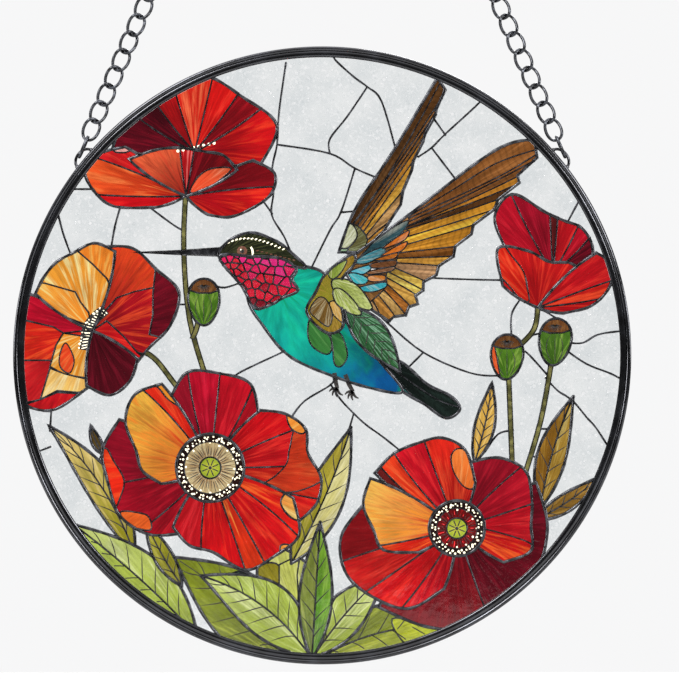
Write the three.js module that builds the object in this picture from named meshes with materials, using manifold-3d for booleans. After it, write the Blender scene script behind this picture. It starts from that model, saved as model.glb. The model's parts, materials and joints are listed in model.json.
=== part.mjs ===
// A round hanging suncatcher: panes of coloured and clear glass in a network of dark metal lines,
// a black channel rim round them, two loops soldered on the rim, and a chain from each loop up to
// one ring. Millimetres, +Z up, the picture faces -Y, origin where a hook bears inside the ring.
import * as THREE from "three";
import { mergeVertices } from "three/addons/utils/BufferGeometryUtils.js";
import Module from "manifold-3d";

// ---------------------------------------------------------------- driving dimensions
const RIM_DIAMETER = 300;
const RIM_FACE = 5;
const RIM_DEPTH = 6.4;
const RIM_LIP = 0.8;
const RIM_WEB = 2.6;
const RIM_CHAMFER = 1.2;
const RIM_SIDES = 48;

const LINE_DEPTH = 4.2;
const LINE_WIDTH = 1.5;
const BORDER_LINE = 2.2;
const STEM_WIDTH = 2.2;
const GLASS_DEPTH = 2.8;
const GAP = 0.3;

const LOOP_WIRE = 1.4;
const LOOP_SPAN = 12;
const LOOP_STAND_OFF = 4.6;
const LOOP_ANGLE = 50.4;

const LINK_WIRE = 1.5;
const LINK_LENGTH = 11.6;
const LINK_WIDTH = 9;
const LINK_TWIST = 1.25;
const LINK_SIDES = 3;
const LINK_STEPS = 6;
const LINK_BITE = 0.12;
const LINKS = 32;

const RING_DIAMETER = 17;
const RING_WIRE = 2;
const RING_HALF_SPACE = 1.7;

// How finely curves are drawn: samples on a span, and how far a straight side may leave its curve.
const SPAN_STEPS = 6;
const FACET = 1;
const MELD = 0.05;
const EGG_SIDES = 10;
const LOOP_STEPS = 7;
const WIRE_SIDES = 5;
const RING_STEPS = 14;

const RIM_RADIUS = RIM_DIAMETER / 2;
const LIP_RADIUS = RIM_RADIUS - RIM_FACE;
const GROOVE_RADIUS = RIM_RADIUS - RIM_WEB;
const BORDER_OUTER = GROOVE_RADIUS - GAP;
const BORDER_INNER = BORDER_OUTER - BORDER_LINE;
const GLASS_RADIUS = BORDER_INNER - GAP;
const LINK_SWELL = 1.3;
const LINK_FACET = (LINK_SWELL * LINK_WIRE) / 2;
const LINK_END = Math.sin((2 * Math.PI) / LINK_STEPS);
const LINK_REACH = LINK_LENGTH / 2 / LINK_END - LINK_FACET;
const LINK_INSIDE = (LINK_REACH - LINK_FACET / 2) * LINK_END;
const LINK_PITCH = 2 * LINK_INSIDE + LINK_BITE;

// ---------------------------------------------------------------- finishes
const FINISHES = {
  metal: { color: 0x17171a, roughness: 0.25, metalness: 0.9 },
  line: { color: 0x0d0d0f, roughness: 0.35, metalness: 0.6 },
  clear: { color: 0xdfe5e6, roughness: 0.1, metalness: 0 },
  scarlet: { color: 0xd81414, roughness: 0.15, metalness: 0 },
  red: { color: 0xbb0f18, roughness: 0.15, metalness: 0 },
  crimson: { color: 0x8f0b1c, roughness: 0.15, metalness: 0 },
  wine: { color: 0x560717, roughness: 0.15, metalness: 0 },
  orange: { color: 0xee6a1f, roughness: 0.15, metalness: 0 },
  amber: { color: 0xf2a637, roughness: 0.15, metalness: 0 },
  cream: { color: 0xb39a62, roughness: 0.3, metalness: 0 },
  dark: { color: 0x231310, roughness: 0.3, metalness: 0 },
  throat: { color: 0xc81645, roughness: 0.15, metalness: 0 },
  teal: { color: 0x0aa08c, roughness: 0.15, metalness: 0 },
  gold: { color: 0x8a5c1c, roughness: 0.15, metalness: 0 },
  feather: { color: 0xb9772b, roughness: 0.15, metalness: 0 },
  brown: { color: 0x7d4a1a, roughness: 0.15, metalness: 0 },
  moss: { color: 0x2f5f35, roughness: 0.15, metalness: 0 },
  night: { color: 0x14201c, roughness: 0.2, metalness: 0 },
  pod: { color: 0x5f8a2a, roughness: 0.15, metalness: 0 },
  leaf: { color: 0x9fae3c, roughness: 0.15, metalness: 0 },
  olive: { color: 0x6f7a22, roughness: 0.15, metalness: 0 },
  straw: { color: 0xc2a343, roughness: 0.15, metalness: 0 },
};

// ---------------------------------------------------------------- outlines in the picture's plane
// Picture coordinates are millimetres right of and above the disc's centre.
const at = (x, z) => new THREE.Vector2(x, z);
const radians = THREE.MathUtils.degToRad;

// The points of an open run that lie further than FACET from the chords they would leave.
function kept(run) {
  const [first, last] = [run[0], run[run.length - 1]];
  const chord = last.clone().sub(first);
  const away = run.map((point) => Math.abs(chord.cross(point.clone().sub(first))) / chord.length());
  const far = away.indexOf(Math.max(...away));
  if (away[far] < FACET) return [first, last];
  return [...kept(run.slice(0, far + 1)).slice(0, -1), ...kept(run.slice(far))];
}

// A closed outline as the fewest straight sides that stay within FACET of it.
function faceted(outline) {
  const reach = outline.map((point) => point.distanceTo(outline[0]));
  const far = reach.indexOf(Math.max(...reach));
  const back = [...outline.slice(far), outline[0]];
  return [...kept(outline.slice(0, far + 1)).slice(0, -1), ...kept(back).slice(0, -1)];
}

function polar(centre, degrees, reach) {
  const angle = radians(degrees);
  return at(centre.x + reach * Math.cos(angle), centre.y + reach * Math.sin(angle));
}

// A fan from its heart: its rim runs through one reach for each of some equal steps of angle, and
// its two sides bow out a little past their middles.
const PETAL_BOW = 0.1;
const PETAL_BELLY = 0.55;

function petal(heart, from, to, reaches) {
  const turn = (to - from) / (reaches.length - 1);
  const rim = reaches.map((reach, i) => polar(heart, from + turn * i, reach));
  const side = (end, way) => {
    const run = end.clone().sub(heart);
    const middle = heart.clone().lerp(end, PETAL_BELLY);
    return middle.add(at(run.y, -run.x).multiplyScalar(way * PETAL_BOW));
  };
  const handed = Math.sign(turn);
  const last = rim[rim.length - 1];
  const sides = [
    new THREE.QuadraticBezierCurve(heart, side(rim[0], handed), rim[0]),
    new THREE.QuadraticBezierCurve(last, side(last, -handed), heart),
  ];
  const [out, home] = sides.map((curve) => curve.getPoints(SPAN_STEPS).slice(0, -1));
  const edge = new THREE.SplineCurve(rim).getPoints(SPAN_STEPS * (rim.length - 1)).slice(0, -1);
  return faceted([...out, ...edge, ...home]);
}

// A closed smooth curve through a few points.
function rounded(points) {
  const count = points.length;
  const outline = [];
  for (let i = 0; i < count; i++) {
    const around = [-1, 0, 1, 2].map((k) => points[(i + k + count) % count]);
    const curve = new THREE.SplineCurve(around.map(([x, z]) => at(x, z)));
    for (let k = 0; k < SPAN_STEPS; k++) outline.push(curve.getPoint((1 + k / SPAN_STEPS) / 3));
  }
  return faceted(outline);
}

// A pointed leaf from its base to its tip: its middle line bends sideways, and its width swells
// and closes along it, with the widest place nearer the base.
const LEAF_SKEW = 0.85;

function leaf(base, tip, width, bend = 0) {
  const [from, to] = [at(...base), at(...tip)];
  const run = to.clone().sub(from);
  const across = at(-run.y, run.x).normalize();
  const place = (share, side) => {
    const swell = (Math.sin(Math.PI * share ** LEAF_SKEW) * width) / 2;
    const sway = 4 * bend * share * (1 - share);
    return from.clone().addScaledVector(run, share).addScaledVector(across, sway + side * swell);
  };
  const count = 3 * SPAN_STEPS;
  const shares = Array.from({ length: count }, (_, i) => i / count);
  return faceted([
    ...shares.map((share) => place(share, -1)),
    ...shares.map((share) => place(1 - share, 1)),
  ]);
}

// A band of one width along a smooth curve.
function stem(points, width) {
  const curve = new THREE.SplineCurve(points.map(([x, z]) => at(x, z)));
  const count = 2 * (points.length - 1);
  const side = (way) => Array.from({ length: count + 1 }, (_, i) => {
    const along = curve.getTangent(i / count);
    return curve.getPoint(i / count).add(at(along.y, -along.x).multiplyScalar((way * width) / 2));
  });
  return [...side(1), ...side(-1).reverse()];
}

// An egg, broad end up, turned by `lean` degrees.
const EGG_SWELL = 0.16;

function egg(centre, halfWidth, halfHeight, lean = 0) {
  const middle = at(...centre);
  return Array.from({ length: EGG_SIDES }, (_, i) => {
    const angle = (2 * Math.PI * i) / EGG_SIDES;
    const swell = 1 + EGG_SWELL * Math.sin(angle);
    const point = at(halfWidth * swell * Math.cos(angle), halfHeight * Math.sin(angle));
    return point.rotateAround(at(0, 0), radians(lean)).add(middle);
  });
}

const circle = (centre, radius, sides) =>
  Array.from({ length: sides }, (_, i) => polar(centre, (360 * i) / sides, radius));

// A wing: a smooth leading edge, then a trailing edge with one scallop for each feather.
function wing(leading, trailing, feathers, notch) {
  const front = new THREE.SplineCurve(leading.map(([x, z]) => at(x, z)));
  const back = new THREE.SplineCurve(trailing.map(([x, z]) => at(x, z)));
  const root = at(...leading[0]);
  const outline = kept(front.getPoints(SPAN_STEPS * (leading.length - 1)));
  for (let i = 0; i < feathers; i++) {
    const tip = back.getPoint((i + 0.5) / feathers);
    const dent = back.getPoint((i + 1) / feathers).lerp(root, notch);
    outline.push(tip, dent);
  }
  return outline;
}

// An outline moved outwards by a distance, or inwards by a negative one, with long corners cut.
const LONGEST_CORNER = 1.8;

function offset(outline, distance) {
  const count = outline.length;
  const turn = Math.sign(THREE.ShapeUtils.area(outline));
  const moved = outline.map((point, i) => {
    const before = point.clone().sub(outline[(i + count - 1) % count]).normalize();
    const after = outline[(i + 1) % count].clone().sub(point).normalize();
    const normal = at(before.y + after.y, -before.x - after.x);
    const length = Math.max(normal.length(), 1e-6);
    const corner = Math.min(2 / length, LONGEST_CORNER);
    return point.clone().addScaledVector(normal, (turn * distance * corner) / length);
  });
  return moved.filter((point, i) => point.distanceTo(moved[(i + 1) % count]) > MELD);
}

// ---------------------------------------------------------------- the picture, from back to front
// Each entry hides what lies behind it. A pane is glass inside a line along its outline, and a bar
// is metal all over.
const pane = (name, finish, outline, line = LINE_WIDTH) => ({ name, finish, outline, line });
const bar = (outline) => ({ outline, line: 0 });

function leaves() {
  return [
    pane("leaf_ground_left", "olive", leaf([-14, -152], [-72, -98], 34, -4)),
    pane("leaf_ground_right", "olive", leaf([-6, -150], [74, -133], 26, 8)),
    pane("leaf_far_left", "straw", leaf([-91, -97], [-133, -34], 15, -5)),
    pane("leaf_broad_left", "leaf", leaf([-61, -136], [-121, -82], 25, -2)),
    pane("leaf_pale_middle", "straw", leaf([-4, -146], [-31, -88], 33, -3)),
    pane("leaf_tall", "straw", leaf([-15, -101], [14, -35], 19, -2)),
    pane("leaf_amber_right", "amber", leaf([74, -52], [82.5, -13], 9.5, -1)),
    pane("leaf_brown_right", "brown", leaf([106, -74], [122, -20], 14, 2)),
    pane("leaf_fan_right", "leaf", leaf([-4, -146], [31, -106], 19, 2)),
    pane("leaf_broad_middle", "leaf", leaf([-6, -146], [-59, -107], 26, -6)),
    pane("leaf_upright", "leaf", leaf([-5, -147], [-1, -81], 16, 0)),
  ];
}

function stems() {
  const runs = [
    [[-66.2, 80], [-67.2, 51.2], [-64.3, 17.1], [-56, -12]],
    [[-60, 18], [-61, 13], [-63, 8]],
    [[-92, 4], [-82, -1], [-72, -13]],
    [[104.8, 26], [103, 13], [95, 4]],
    [[90.5, -9], [92.2, -52]],
    [[111.5, -2], [106, -32], [97, -62]],
  ];
  return runs.map((run) => bar(stem(run, STEM_WIDTH)));
}

function pods() {
  return [
    pane("pod_left", "pod", egg([-57.5, 25.9], 7.6, 11.4)),
    pane("pod_right_near", "pod", egg([89.7, -0.8], 7.8, 11, -4)),
    pane("pod_right_far", "pod", egg([113, 6.5], 7.8, 11.5, -8)),
  ];
}

function poppies() {
  const top = at(-62, 98.6);
  const topFoot = at(-66.2, 77.3);
  const left = at(-111.6, 12);
  const right = at(112, 40);
  const rightFoot = at(104.6, 23.2);
  const large = at(-54.4, -54.6);
  const low = at(65.4, -84);
  return [
    pane("poppy_top_back", "scarlet",
      petal(top, 178, -14, [40, 39, 38, 37.5, 35.5, 42, 32])),
    pane("poppy_top_wing_right", "crimson",
      petal(topFoot, 28, -40, [37, 44.5, 41, 31, 23, 14])),
    pane("poppy_top_wing_left", "red",
      petal(topFoot, 141, 200, [38, 46, 51, 45, 35, 16])),
    pane("poppy_top_cup", "scarlet",
      petal(topFoot, 147, 27, [33, 27.5, 24.5, 23, 23.5, 27, 28])),

    pane("poppy_left_rim_side", "red", petal(left, 150, 265, [36, 40, 44, 50, 44, 28])),
    pane("poppy_left_right", "crimson", petal(left, 84, -36, [41, 44.5, 43, 46, 38, 29, 26.5])),
    pane("poppy_left_low", "wine", petal(left, -32, -96, [26, 30.5, 32.5, 27])),
    pane("poppy_left_amber", "amber", petal(left, 74, 147, [40, 42.5, 39, 37.5, 35, 33])),

    pane("poppy_right_back", "crimson",
      petal(right, 156, 20, [24, 39, 43, 30, 26, 26, 24, 21])),
    pane("poppy_right_cup", "scarlet", petal(rightFoot, 148, 28, [20, 34.5, 28, 23, 27, 28])),
    pane("poppy_right_wing", "red", petal(rightFoot, 43, -12, [39, 42, 36, 26, 13])),

    pane("poppy_large_up", "crimson", petal(large, 124, 44, [37, 47.5, 46, 45, 33])),
    pane("poppy_large_left", "crimson", petal(large, 152, 246, [50, 53, 50, 49.5, 44, 35])),
    pane("poppy_large_right", "red", petal(large, 49, -32, [37, 45, 50, 48, 54, 54.5, 50])),
    pane("poppy_large_bottom", "red", petal(large, 238, 340, [34, 39, 41, 52.5, 53, 54, 43])),
    pane("poppy_large_front", "orange", petal(large, 120, 198, [47, 51, 47, 37, 33, 25])),
    pane("poppy_large_centre", "cream", circle(large, 16.5, 12)),

    pane("poppy_low_back", "wine",
      petal(low, 30, -135, [44.5, 44, 44, 46, 49, 50, 54])),
    pane("poppy_low_side", "crimson",
      petal(low, 78, -36, [33, 40, 43.5, 39, 36, 37.5, 28])),
    pane("poppy_low_bottom", "red",
      petal(low, 166, 258, [47, 56.5, 58, 52, 45, 30])),
    pane("poppy_low_up", "scarlet",
      petal(low, 146, 68, [48, 47.5, 45.5, 44.5, 38, 24])),
    pane("poppy_low_front", "orange",
      petal(low, 150, 212, [48.5, 47, 40.5, 37, 22])),
    pane("poppy_low_centre", "dark", circle(low, 13.5, 11)),
  ];
}

function bird() {
  const farWing = wing(
    [[8, 50], [16.3, 71.5], [35.5, 100.8], [56, 135]],
    [[61, 133], [57, 121], [50, 106], [43.5, 90], [37, 70.7], [27, 57], [20, 50]], 7, 0.05);
  const nearWing = wing(
    [[8.8, 44], [39.7, 66.5], [83.2, 99.1], [103, 105]],
    [[107, 100], [95, 83], [76, 63], [62, 46], [50, 33], [45, 23], [33, 16.5], [22, 24]], 11, 0.06);
  return [
    pane("bird_far_wing", "feather", farWing),
    pane("bird_tail", "night", rounded(
      [[28, -4], [38, -3], [51, -14], [62, -19.5], [67, -26], [60, -30.5], [50, -24], [37, -16]])),
    pane("bird_breast", "teal", rounded(
      [[-36, 30], [-27, 12], [-15, -1], [5, -10], [24, -16], [39, -17.5], [28, -3], [16, 11],
        [5, 25], [2, 38], [-5, 42.5], [-16, 42]])),
    pane("bird_back", "moss", leaf([11, 24], [38, -8], 15, 1)),
    pane("bird_near_wing", "feather", nearWing),
    pane("bird_shoulder", "gold", rounded(
      [[-3, 31], [2, 40], [14, 49], [16, 45], [9, 36], [9, 26], [10, 14], [2, 11], [-7.5, 21]])),
    bar([at(-92, 50), at(-46, 47.9), at(-46, 52.6)]),
    pane("bird_crown", "night", rounded(
      [[-50, 50.5], [-44, 56.5], [-34, 59.6], [-22, 55.3], [-14, 49], [-8, 42.5], [-20, 44.5],
        [-34, 46], [-48, 47]])),
    pane("bird_throat", "throat", rounded(
      [[-50, 48], [-34, 48], [-20, 47], [-12.5, 42], [-14.6, 37], [-11.8, 31.5], [-19, 28],
        [-25, 24.5], [-33, 23], [-39, 33.5]])),
  ];
}

const picture = () => [...leaves(), ...stems(), ...pods(), ...poppies(), ...bird()];

// Clear panes fill what the figures leave, and each is known by a place inside it.
const CLEAR_PANES = {
  clear_top: [0, 110],
  clear_above_wing: [72, 112],
  clear_by_wing_tip: [112, 86],
  clear_upper_left: [-95, 62],
  clear_left: [-110, -40],
  clear_bottom_left: [-72, -97],
  clear_middle: [30, -32],
  clear_right: [134, -12],
};

// ---------------------------------------------------------------- solids
const wasm = await Module();
wasm.setup();

// A geometry as a solid with its doubled vertices merged and its faces pointing out.
function toSolid(geometry) {
  const bare = geometry.clone();
  bare.deleteAttribute("normal");
  bare.deleteAttribute("uv");
  const merged = mergeVertices(bare, 1e-4);
  return new wasm.Manifold(new wasm.Mesh({
    numProp: 3,
    vertProperties: new Float32Array(merged.attributes.position.array),
    triVerts: new Uint32Array(merged.index.array),
  }));
}

function toGeometry(solid) {
  const mesh = solid.getMesh();
  const geometry = new THREE.BufferGeometry();
  geometry.setAttribute("position", new THREE.BufferAttribute(mesh.vertProperties, 3));
  geometry.setIndex(new THREE.BufferAttribute(mesh.triVerts, 1));
  geometry.computeVertexNormals();
  return geometry;
}

// An outline as a plate of one depth, with its middle on the picture's plane.
function plate(outline, depth) {
  const shape = new THREE.Shape(outline);
  const geometry = new THREE.ExtrudeGeometry(shape, { depth, bevelEnabled: false, steps: 1 });
  geometry.rotateX(Math.PI / 2);
  geometry.translate(0, depth / 2, 0);
  return toSolid(geometry);
}

// The bodies that a solid falls into, the largest first.
const bodiesOf = (solid) => solid.decompose().sort((a, b) => b.volume() - a.volume());

// One body with the points that its flat faces and straight edges don't need taken out.
const plain = (solid) => solid.asOriginal().simplify(MELD);

const group = new THREE.Group();

function addNode(name, finish, geometry) {
  const mesh = new THREE.Mesh(geometry, new THREE.MeshStandardMaterial(FINISHES[finish]));
  mesh.name = name;
  group.add(mesh);
  return mesh;
}

// ---------------------------------------------------------------- the line network and its panes
const DISC_CENTRE = at(0, 0);
const CUT_DEPTH = RIM_DEPTH + 2;
const disc = (radius, depth) => plate(circle(DISC_CENTRE, radius, RIM_SIDES), depth);

// From back to front, each figure draws its line and opens its inside.
function buildNetwork(figures) {
  const border = disc(BORDER_OUTER, LINE_DEPTH).subtract(disc(BORDER_INNER, CUT_DEPTH));
  let network = border;
  for (const { outline, line } of figures) {
    network = network.add(plate(offset(outline, line / 2), LINE_DEPTH));
    if (line) network = network.subtract(plate(offset(outline, -line / 2), CUT_DEPTH));
  }
  return plain(bodiesOf(network.intersect(disc(BORDER_INNER + GAP, CUT_DEPTH)).add(border))[0]);
}

// From front to back, each pane keeps what no nearer figure covers, and clear glass the rest.
function buildPanes(figures) {
  const field = disc(GLASS_RADIUS, CUT_DEPTH);
  let covered = disc(GLASS_RADIUS + 1, CUT_DEPTH).subtract(field);
  for (const { name, finish, outline, line } of [...figures].reverse()) {
    if (name) {
      const seen = plate(offset(outline, -line / 2 - GAP), GLASS_DEPTH).subtract(covered);
      addNode(name, finish, toGeometry(plain(bodiesOf(seen.intersect(field))[0])));
    }
    covered = covered.add(plate(offset(outline, line / 2 + GAP), CUT_DEPTH));
  }
  const clear = bodiesOf(disc(GLASS_RADIUS, GLASS_DEPTH).subtract(covered));
  for (const [name, place] of Object.entries(CLEAR_PANES)) {
    const probe = plate(circle(at(...place), GAP, WIRE_SIDES), GLASS_DEPTH);
    const body = clear.find((candidate) => candidate.intersect(probe).volume() > 0);
    addNode(name, "clear", toGeometry(plain(body)));
  }
}

// ---------------------------------------------------------------- the rim, loops, chains and ring
// A channel bent into a circle: a groove facing in takes the edge of the line network.
function rimGeometry() {
  const half = RIM_DEPTH / 2;
  const groove = half - RIM_LIP;
  const side = [
    [RIM_RADIUS, half - RIM_CHAMFER], [RIM_RADIUS - RIM_CHAMFER, half], [LIP_RADIUS, half],
    [LIP_RADIUS, groove], [GROOVE_RADIUS, groove],
  ];
  const profile = [...side, ...side.map(([r, y]) => [r, -y]).reverse()];
  const closed = [...profile, profile[0]].map(([r, y]) => at(r, y));
  return new THREE.LatheGeometry(closed, RIM_SIDES);
}

// A half ring of wire that stands on the rim's outer edge.
function loopGeometry() {
  const across = (LOOP_SPAN - LOOP_WIRE) / 2;
  const out = LOOP_STAND_OFF - LOOP_WIRE / 2;
  const path = new THREE.CatmullRomCurve3(Array.from({ length: LOOP_STEPS }, (_, i) => {
    const angle = (Math.PI * i) / (LOOP_STEPS - 1);
    return new THREE.Vector3(across * Math.cos(angle), 0, out * Math.sin(angle));
  }));
  const section = new THREE.Shape(circle(DISC_CENTRE, LOOP_WIRE / 2, WIRE_SIDES));
  const options = { steps: LOOP_STEPS, extrudePath: path, bevelEnabled: false };
  return new THREE.ExtrudeGeometry(section, options);
}

// A link along Z: its wire closes on itself, long in Z, and its two sides lean apart in Y.
function linkSolid(twist) {
  const across = LINK_WIDTH / 2 - LINK_FACET;
  const torus = new THREE.TorusGeometry(across, LINK_FACET, LINK_SIDES, LINK_STEPS);
  const place = torus.attributes.position;
  for (let i = 0; i < place.count; i++) {
    const angle = Math.atan2(place.getY(i), place.getX(i));
    place.setY(i, place.getY(i) + (LINK_REACH - across) * Math.sin(angle));
    place.setZ(i, place.getZ(i) + twist * Math.sin(2 * angle));
  }
  torus.rotateX(Math.PI / 2);
  return toSolid(torus);
}

// One chain leans from its loop to the ring: its end links stand edge-on in the loop and the
// ring, and the links between lie in the picture's plane.
function chainGeometry(start, end) {
  const run = end.clone().sub(start);
  const lean = Math.atan2(run.x, run.z);
  run.normalize();
  let chain = null;
  for (let i = 0; i < LINKS; i++) {
    const isEnd = i === 0 || i === LINKS - 1;
    const placed = new THREE.Matrix4()
      .makeRotationY(lean)
      .multiply(new THREE.Matrix4().makeRotationZ(isEnd ? Math.PI / 2 : 0))
      .setPosition(start.clone().addScaledVector(run, LINK_INSIDE + i * LINK_PITCH));
    const link = linkSolid(isEnd ? 0 : LINK_TWIST).transform(placed.elements);
    chain = chain ? chain.add(link) : link;
  }
  return toGeometry(chain);
}

const RING_REACH = (RING_DIAMETER - RING_WIRE) / 2;
const LOOP_HOLD = RIM_RADIUS + LOOP_STAND_OFF - LOOP_WIRE - 2 * GAP;
const RING_HOLD = RING_REACH - RING_WIRE / 2 - GAP;
const CHAIN_LENGTH = 2 * LINK_INSIDE + (LINKS - 1) * LINK_PITCH;
const loopAngle = radians(LOOP_ANGLE);
const CHAIN_RISE = Math.sqrt(
  CHAIN_LENGTH ** 2 - (LOOP_HOLD * Math.sin(loopAngle) - RING_HALF_SPACE) ** 2);
const RING_HEIGHT = LOOP_HOLD * Math.cos(loopAngle) + CHAIN_RISE
  + Math.sqrt(RING_HOLD ** 2 - RING_HALF_SPACE ** 2);
const HANG_HEIGHT = RING_HEIGHT + RING_REACH - RING_WIRE / 2;

const figures = picture();
buildPanes(figures);
addNode("line_network", "line", toGeometry(buildNetwork(figures)));
addNode("rim", "metal", rimGeometry());

for (const [side, way] of [["left", -1], ["right", 1]]) {
  const loop = addNode("hanging_loop_" + side, "metal", loopGeometry());
  loop.rotation.y = way * loopAngle;
  loop.position.set(Math.sin(way * loopAngle), 0, Math.cos(loopAngle))
    .multiplyScalar(RIM_RADIUS + GAP);
  const start = new THREE.Vector3(Math.sin(way * loopAngle), 0, Math.cos(loopAngle))
    .multiplyScalar(LOOP_HOLD);
  const end = new THREE.Vector3(way * RING_HALF_SPACE, 0, start.z + CHAIN_RISE);
  addNode("chain_" + side, "metal", chainGeometry(start, end));
}

const ring = addNode("hanging_ring", "metal",
  new THREE.TorusGeometry(RING_REACH, RING_WIRE / 2, WIRE_SIDES, RING_STEPS));
ring.rotation.x = Math.PI / 2;
ring.position.z = RING_HEIGHT;

// Everything hangs from the point where a hook bears inside the ring.
group.position.z = -HANG_HEIGHT;

export default group;
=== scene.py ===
"""Looks for a round stained glass suncatcher: cut glass in beaded dark lines, rim, loops, chains, ring.

Picture coordinates are millimetres right of and above the disc's centre, and the picture faces -Y.
"""
import json
import logging
import math
import random
from dataclasses import dataclass, field
from enum import Enum
from typing import Callable, Dict, Iterable, List, Optional, Sequence, Tuple

import bpy
import numpy as np
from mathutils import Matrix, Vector
from mathutils.geometry import delaunay_2d_cdt, tessellate_polygon

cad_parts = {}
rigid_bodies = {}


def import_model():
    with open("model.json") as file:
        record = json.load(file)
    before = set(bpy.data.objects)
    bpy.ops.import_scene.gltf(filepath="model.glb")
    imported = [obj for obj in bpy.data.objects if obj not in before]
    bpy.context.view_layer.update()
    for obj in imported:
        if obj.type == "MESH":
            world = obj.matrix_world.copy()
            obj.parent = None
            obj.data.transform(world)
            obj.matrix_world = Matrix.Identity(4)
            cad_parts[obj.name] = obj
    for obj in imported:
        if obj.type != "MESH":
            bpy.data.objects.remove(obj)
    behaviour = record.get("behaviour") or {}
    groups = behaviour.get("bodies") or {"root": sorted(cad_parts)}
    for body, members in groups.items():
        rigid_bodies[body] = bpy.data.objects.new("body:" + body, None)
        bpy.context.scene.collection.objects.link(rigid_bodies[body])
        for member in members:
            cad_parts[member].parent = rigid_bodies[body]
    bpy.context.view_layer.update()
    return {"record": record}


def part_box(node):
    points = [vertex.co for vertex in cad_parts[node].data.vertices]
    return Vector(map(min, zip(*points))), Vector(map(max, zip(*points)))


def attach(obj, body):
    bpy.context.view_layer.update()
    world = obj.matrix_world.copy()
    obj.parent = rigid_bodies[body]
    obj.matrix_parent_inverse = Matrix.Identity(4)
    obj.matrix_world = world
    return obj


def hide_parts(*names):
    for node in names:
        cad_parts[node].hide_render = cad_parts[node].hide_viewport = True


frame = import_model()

Point = Tuple[float, float]
Run = List[Point]
Place = Tuple[float, float, float]

MM = 0.001
STUDIO_WHITE = 0.93
GLASS_IOR = 1.45
LOG = logging.getLogger("suncatcher")


class Family(Enum):
    """The part of the picture that a figure belongs to."""

    LEAVES = "leaf"
    POPPIES = "poppy"
    BIRD = "bird"
    FIELD = "field"


class Kind(Enum):
    """What fills a figure's outline."""

    GLASS = 1
    BAR = 2


class Paint(Enum):
    """The fired paints, each with its colour and the name of a slot in the record."""

    BLACK = ("trace_paint", 0x120D0B, "dark_lines")
    BROWN = ("brown_paint", 0x4A2410, "dark_lines")
    CREAM = ("cream_enamel", 0xF3E6C8, "stamen_glass")
    RED = ("red_enamel", 0xC8141A, "red_glass")


# ---------------------------------------------------------------- curves in the picture's plane
def polar(centre: Point, degrees: float, reach: float) -> Point:
    """The point at an angle and a distance from a centre."""
    angle = math.radians(degrees)
    return (centre[0] + reach * math.cos(angle), centre[1] + reach * math.sin(angle))


def heading(start: Point, end: Point) -> float:
    """The angle in radians of the way from one point to another."""
    return math.atan2(end[1] - start[1], end[0] - start[0])


def turns(count: int) -> List[float]:
    """Even angles round a circle, in radians."""
    return [math.tau * k / count for k in range(count)]


def mix(a: Point, b: Point, share: float) -> Point:
    """The point a share of the way from one to the other."""
    return (a[0] + (b[0] - a[0]) * share, a[1] + (b[1] - a[1]) * share)


def spline_point(p: Sequence[Point], t: float) -> Point:
    """A Catmull-Rom span's point.

    Args:
        p: the span's two ends between their neighbours, four points.
        t: the share of the span passed.

    Returns:
        The point.
    """
    def axis(a: float, b: float, c: float, d: float) -> float:
        """One coordinate of the cubic."""
        v0, v1 = (c - a) / 2, (d - b) / 2
        return (2 * b - 2 * c + v0 + v1) * t ** 3 + (3 * c - 3 * b - 2 * v0 - v1) * t * t + v0 * t + b
    return (axis(*(q[0] for q in p)), axis(*(q[1] for q in p)))


def spline(points: Sequence[Point], steps: int = 6, closed: bool = False) -> Run:
    """A smooth run through some points.

    Args:
        points: the points to pass.
        steps: samples on each span.
        closed: whether the last span goes back to the first point.

    Returns:
        The samples, with the last point only where the run is open.
    """
    n = len(points)
    spans = n if closed else n - 1

    def knot(i: int) -> Point:
        """A control point, wrapped or held at the ends."""
        return points[i % n] if closed else points[max(0, min(n - 1, i))]
    run = [spline_point([knot(i - 1), knot(i), knot(i + 1), knot(i + 2)], k / steps)
           for i in range(spans) for k in range(steps)]
    return run if closed else run + [tuple(points[-1])]


def spline_at(points: Sequence[Point], share: float) -> Point:
    """A point of an open spline.

    Args:
        points: what the spline passes.
        share: how many of its spans are passed, as a share of all.

    Returns:
        The point.
    """
    place = min(max(share, 0.0), 1.0) * (len(points) - 1)
    i = min(int(place), len(points) - 2)
    knots = [points[max(0, min(len(points) - 1, i + k))] for k in (-1, 0, 1, 2)]
    return spline_point(knots, place - i)


def bowed(a: Point, b: Point, bow: float, steps: int = 10, belly: float = 0.55) -> Run:
    """A run from one point to another that bows sideways.

    Args:
        a: where it starts.
        b: where it ends.
        bow: how far its control point stands off, as a share of its length, to the right.
        steps: how many sides it has.
        belly: how far along the control point is.

    Returns:
        The points.
    """
    run = (b[0] - a[0], b[1] - a[1])
    c = (a[0] + run[0] * belly + run[1] * bow, a[1] + run[1] * belly - run[0] * bow)
    return [mix(mix(a, c, t), mix(c, b, t), t) for t in (i / steps for i in range(steps + 1))]


def ring(centre: Point, radius: float, sides: int) -> Run:
    """A circle."""
    return [polar(centre, 360 * i / sides, radius) for i in range(sides)]


def band(points: Sequence[Point], width: float, steps: int = 5) -> Run:
    """The outline of a band of one width along a smooth run.

    Args:
        points: what the band's middle passes.
        width: its whole width.
        steps: samples on each span.

    Returns:
        The closed outline.
    """
    run = spline(points, steps)
    left, right = [], []
    for i, p in enumerate(run):
        a, b = run[max(i - 1, 0)], run[min(i + 1, len(run) - 1)]
        d = math.hypot(b[0] - a[0], b[1] - a[1]) or 1.0
        n = ((b[1] - a[1]) / d * width / 2, -(b[0] - a[0]) / d * width / 2)
        left.append((p[0] + n[0], p[1] + n[1]))
        right.append((p[0] - n[0], p[1] - n[1]))
    return left + right[::-1]


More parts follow.
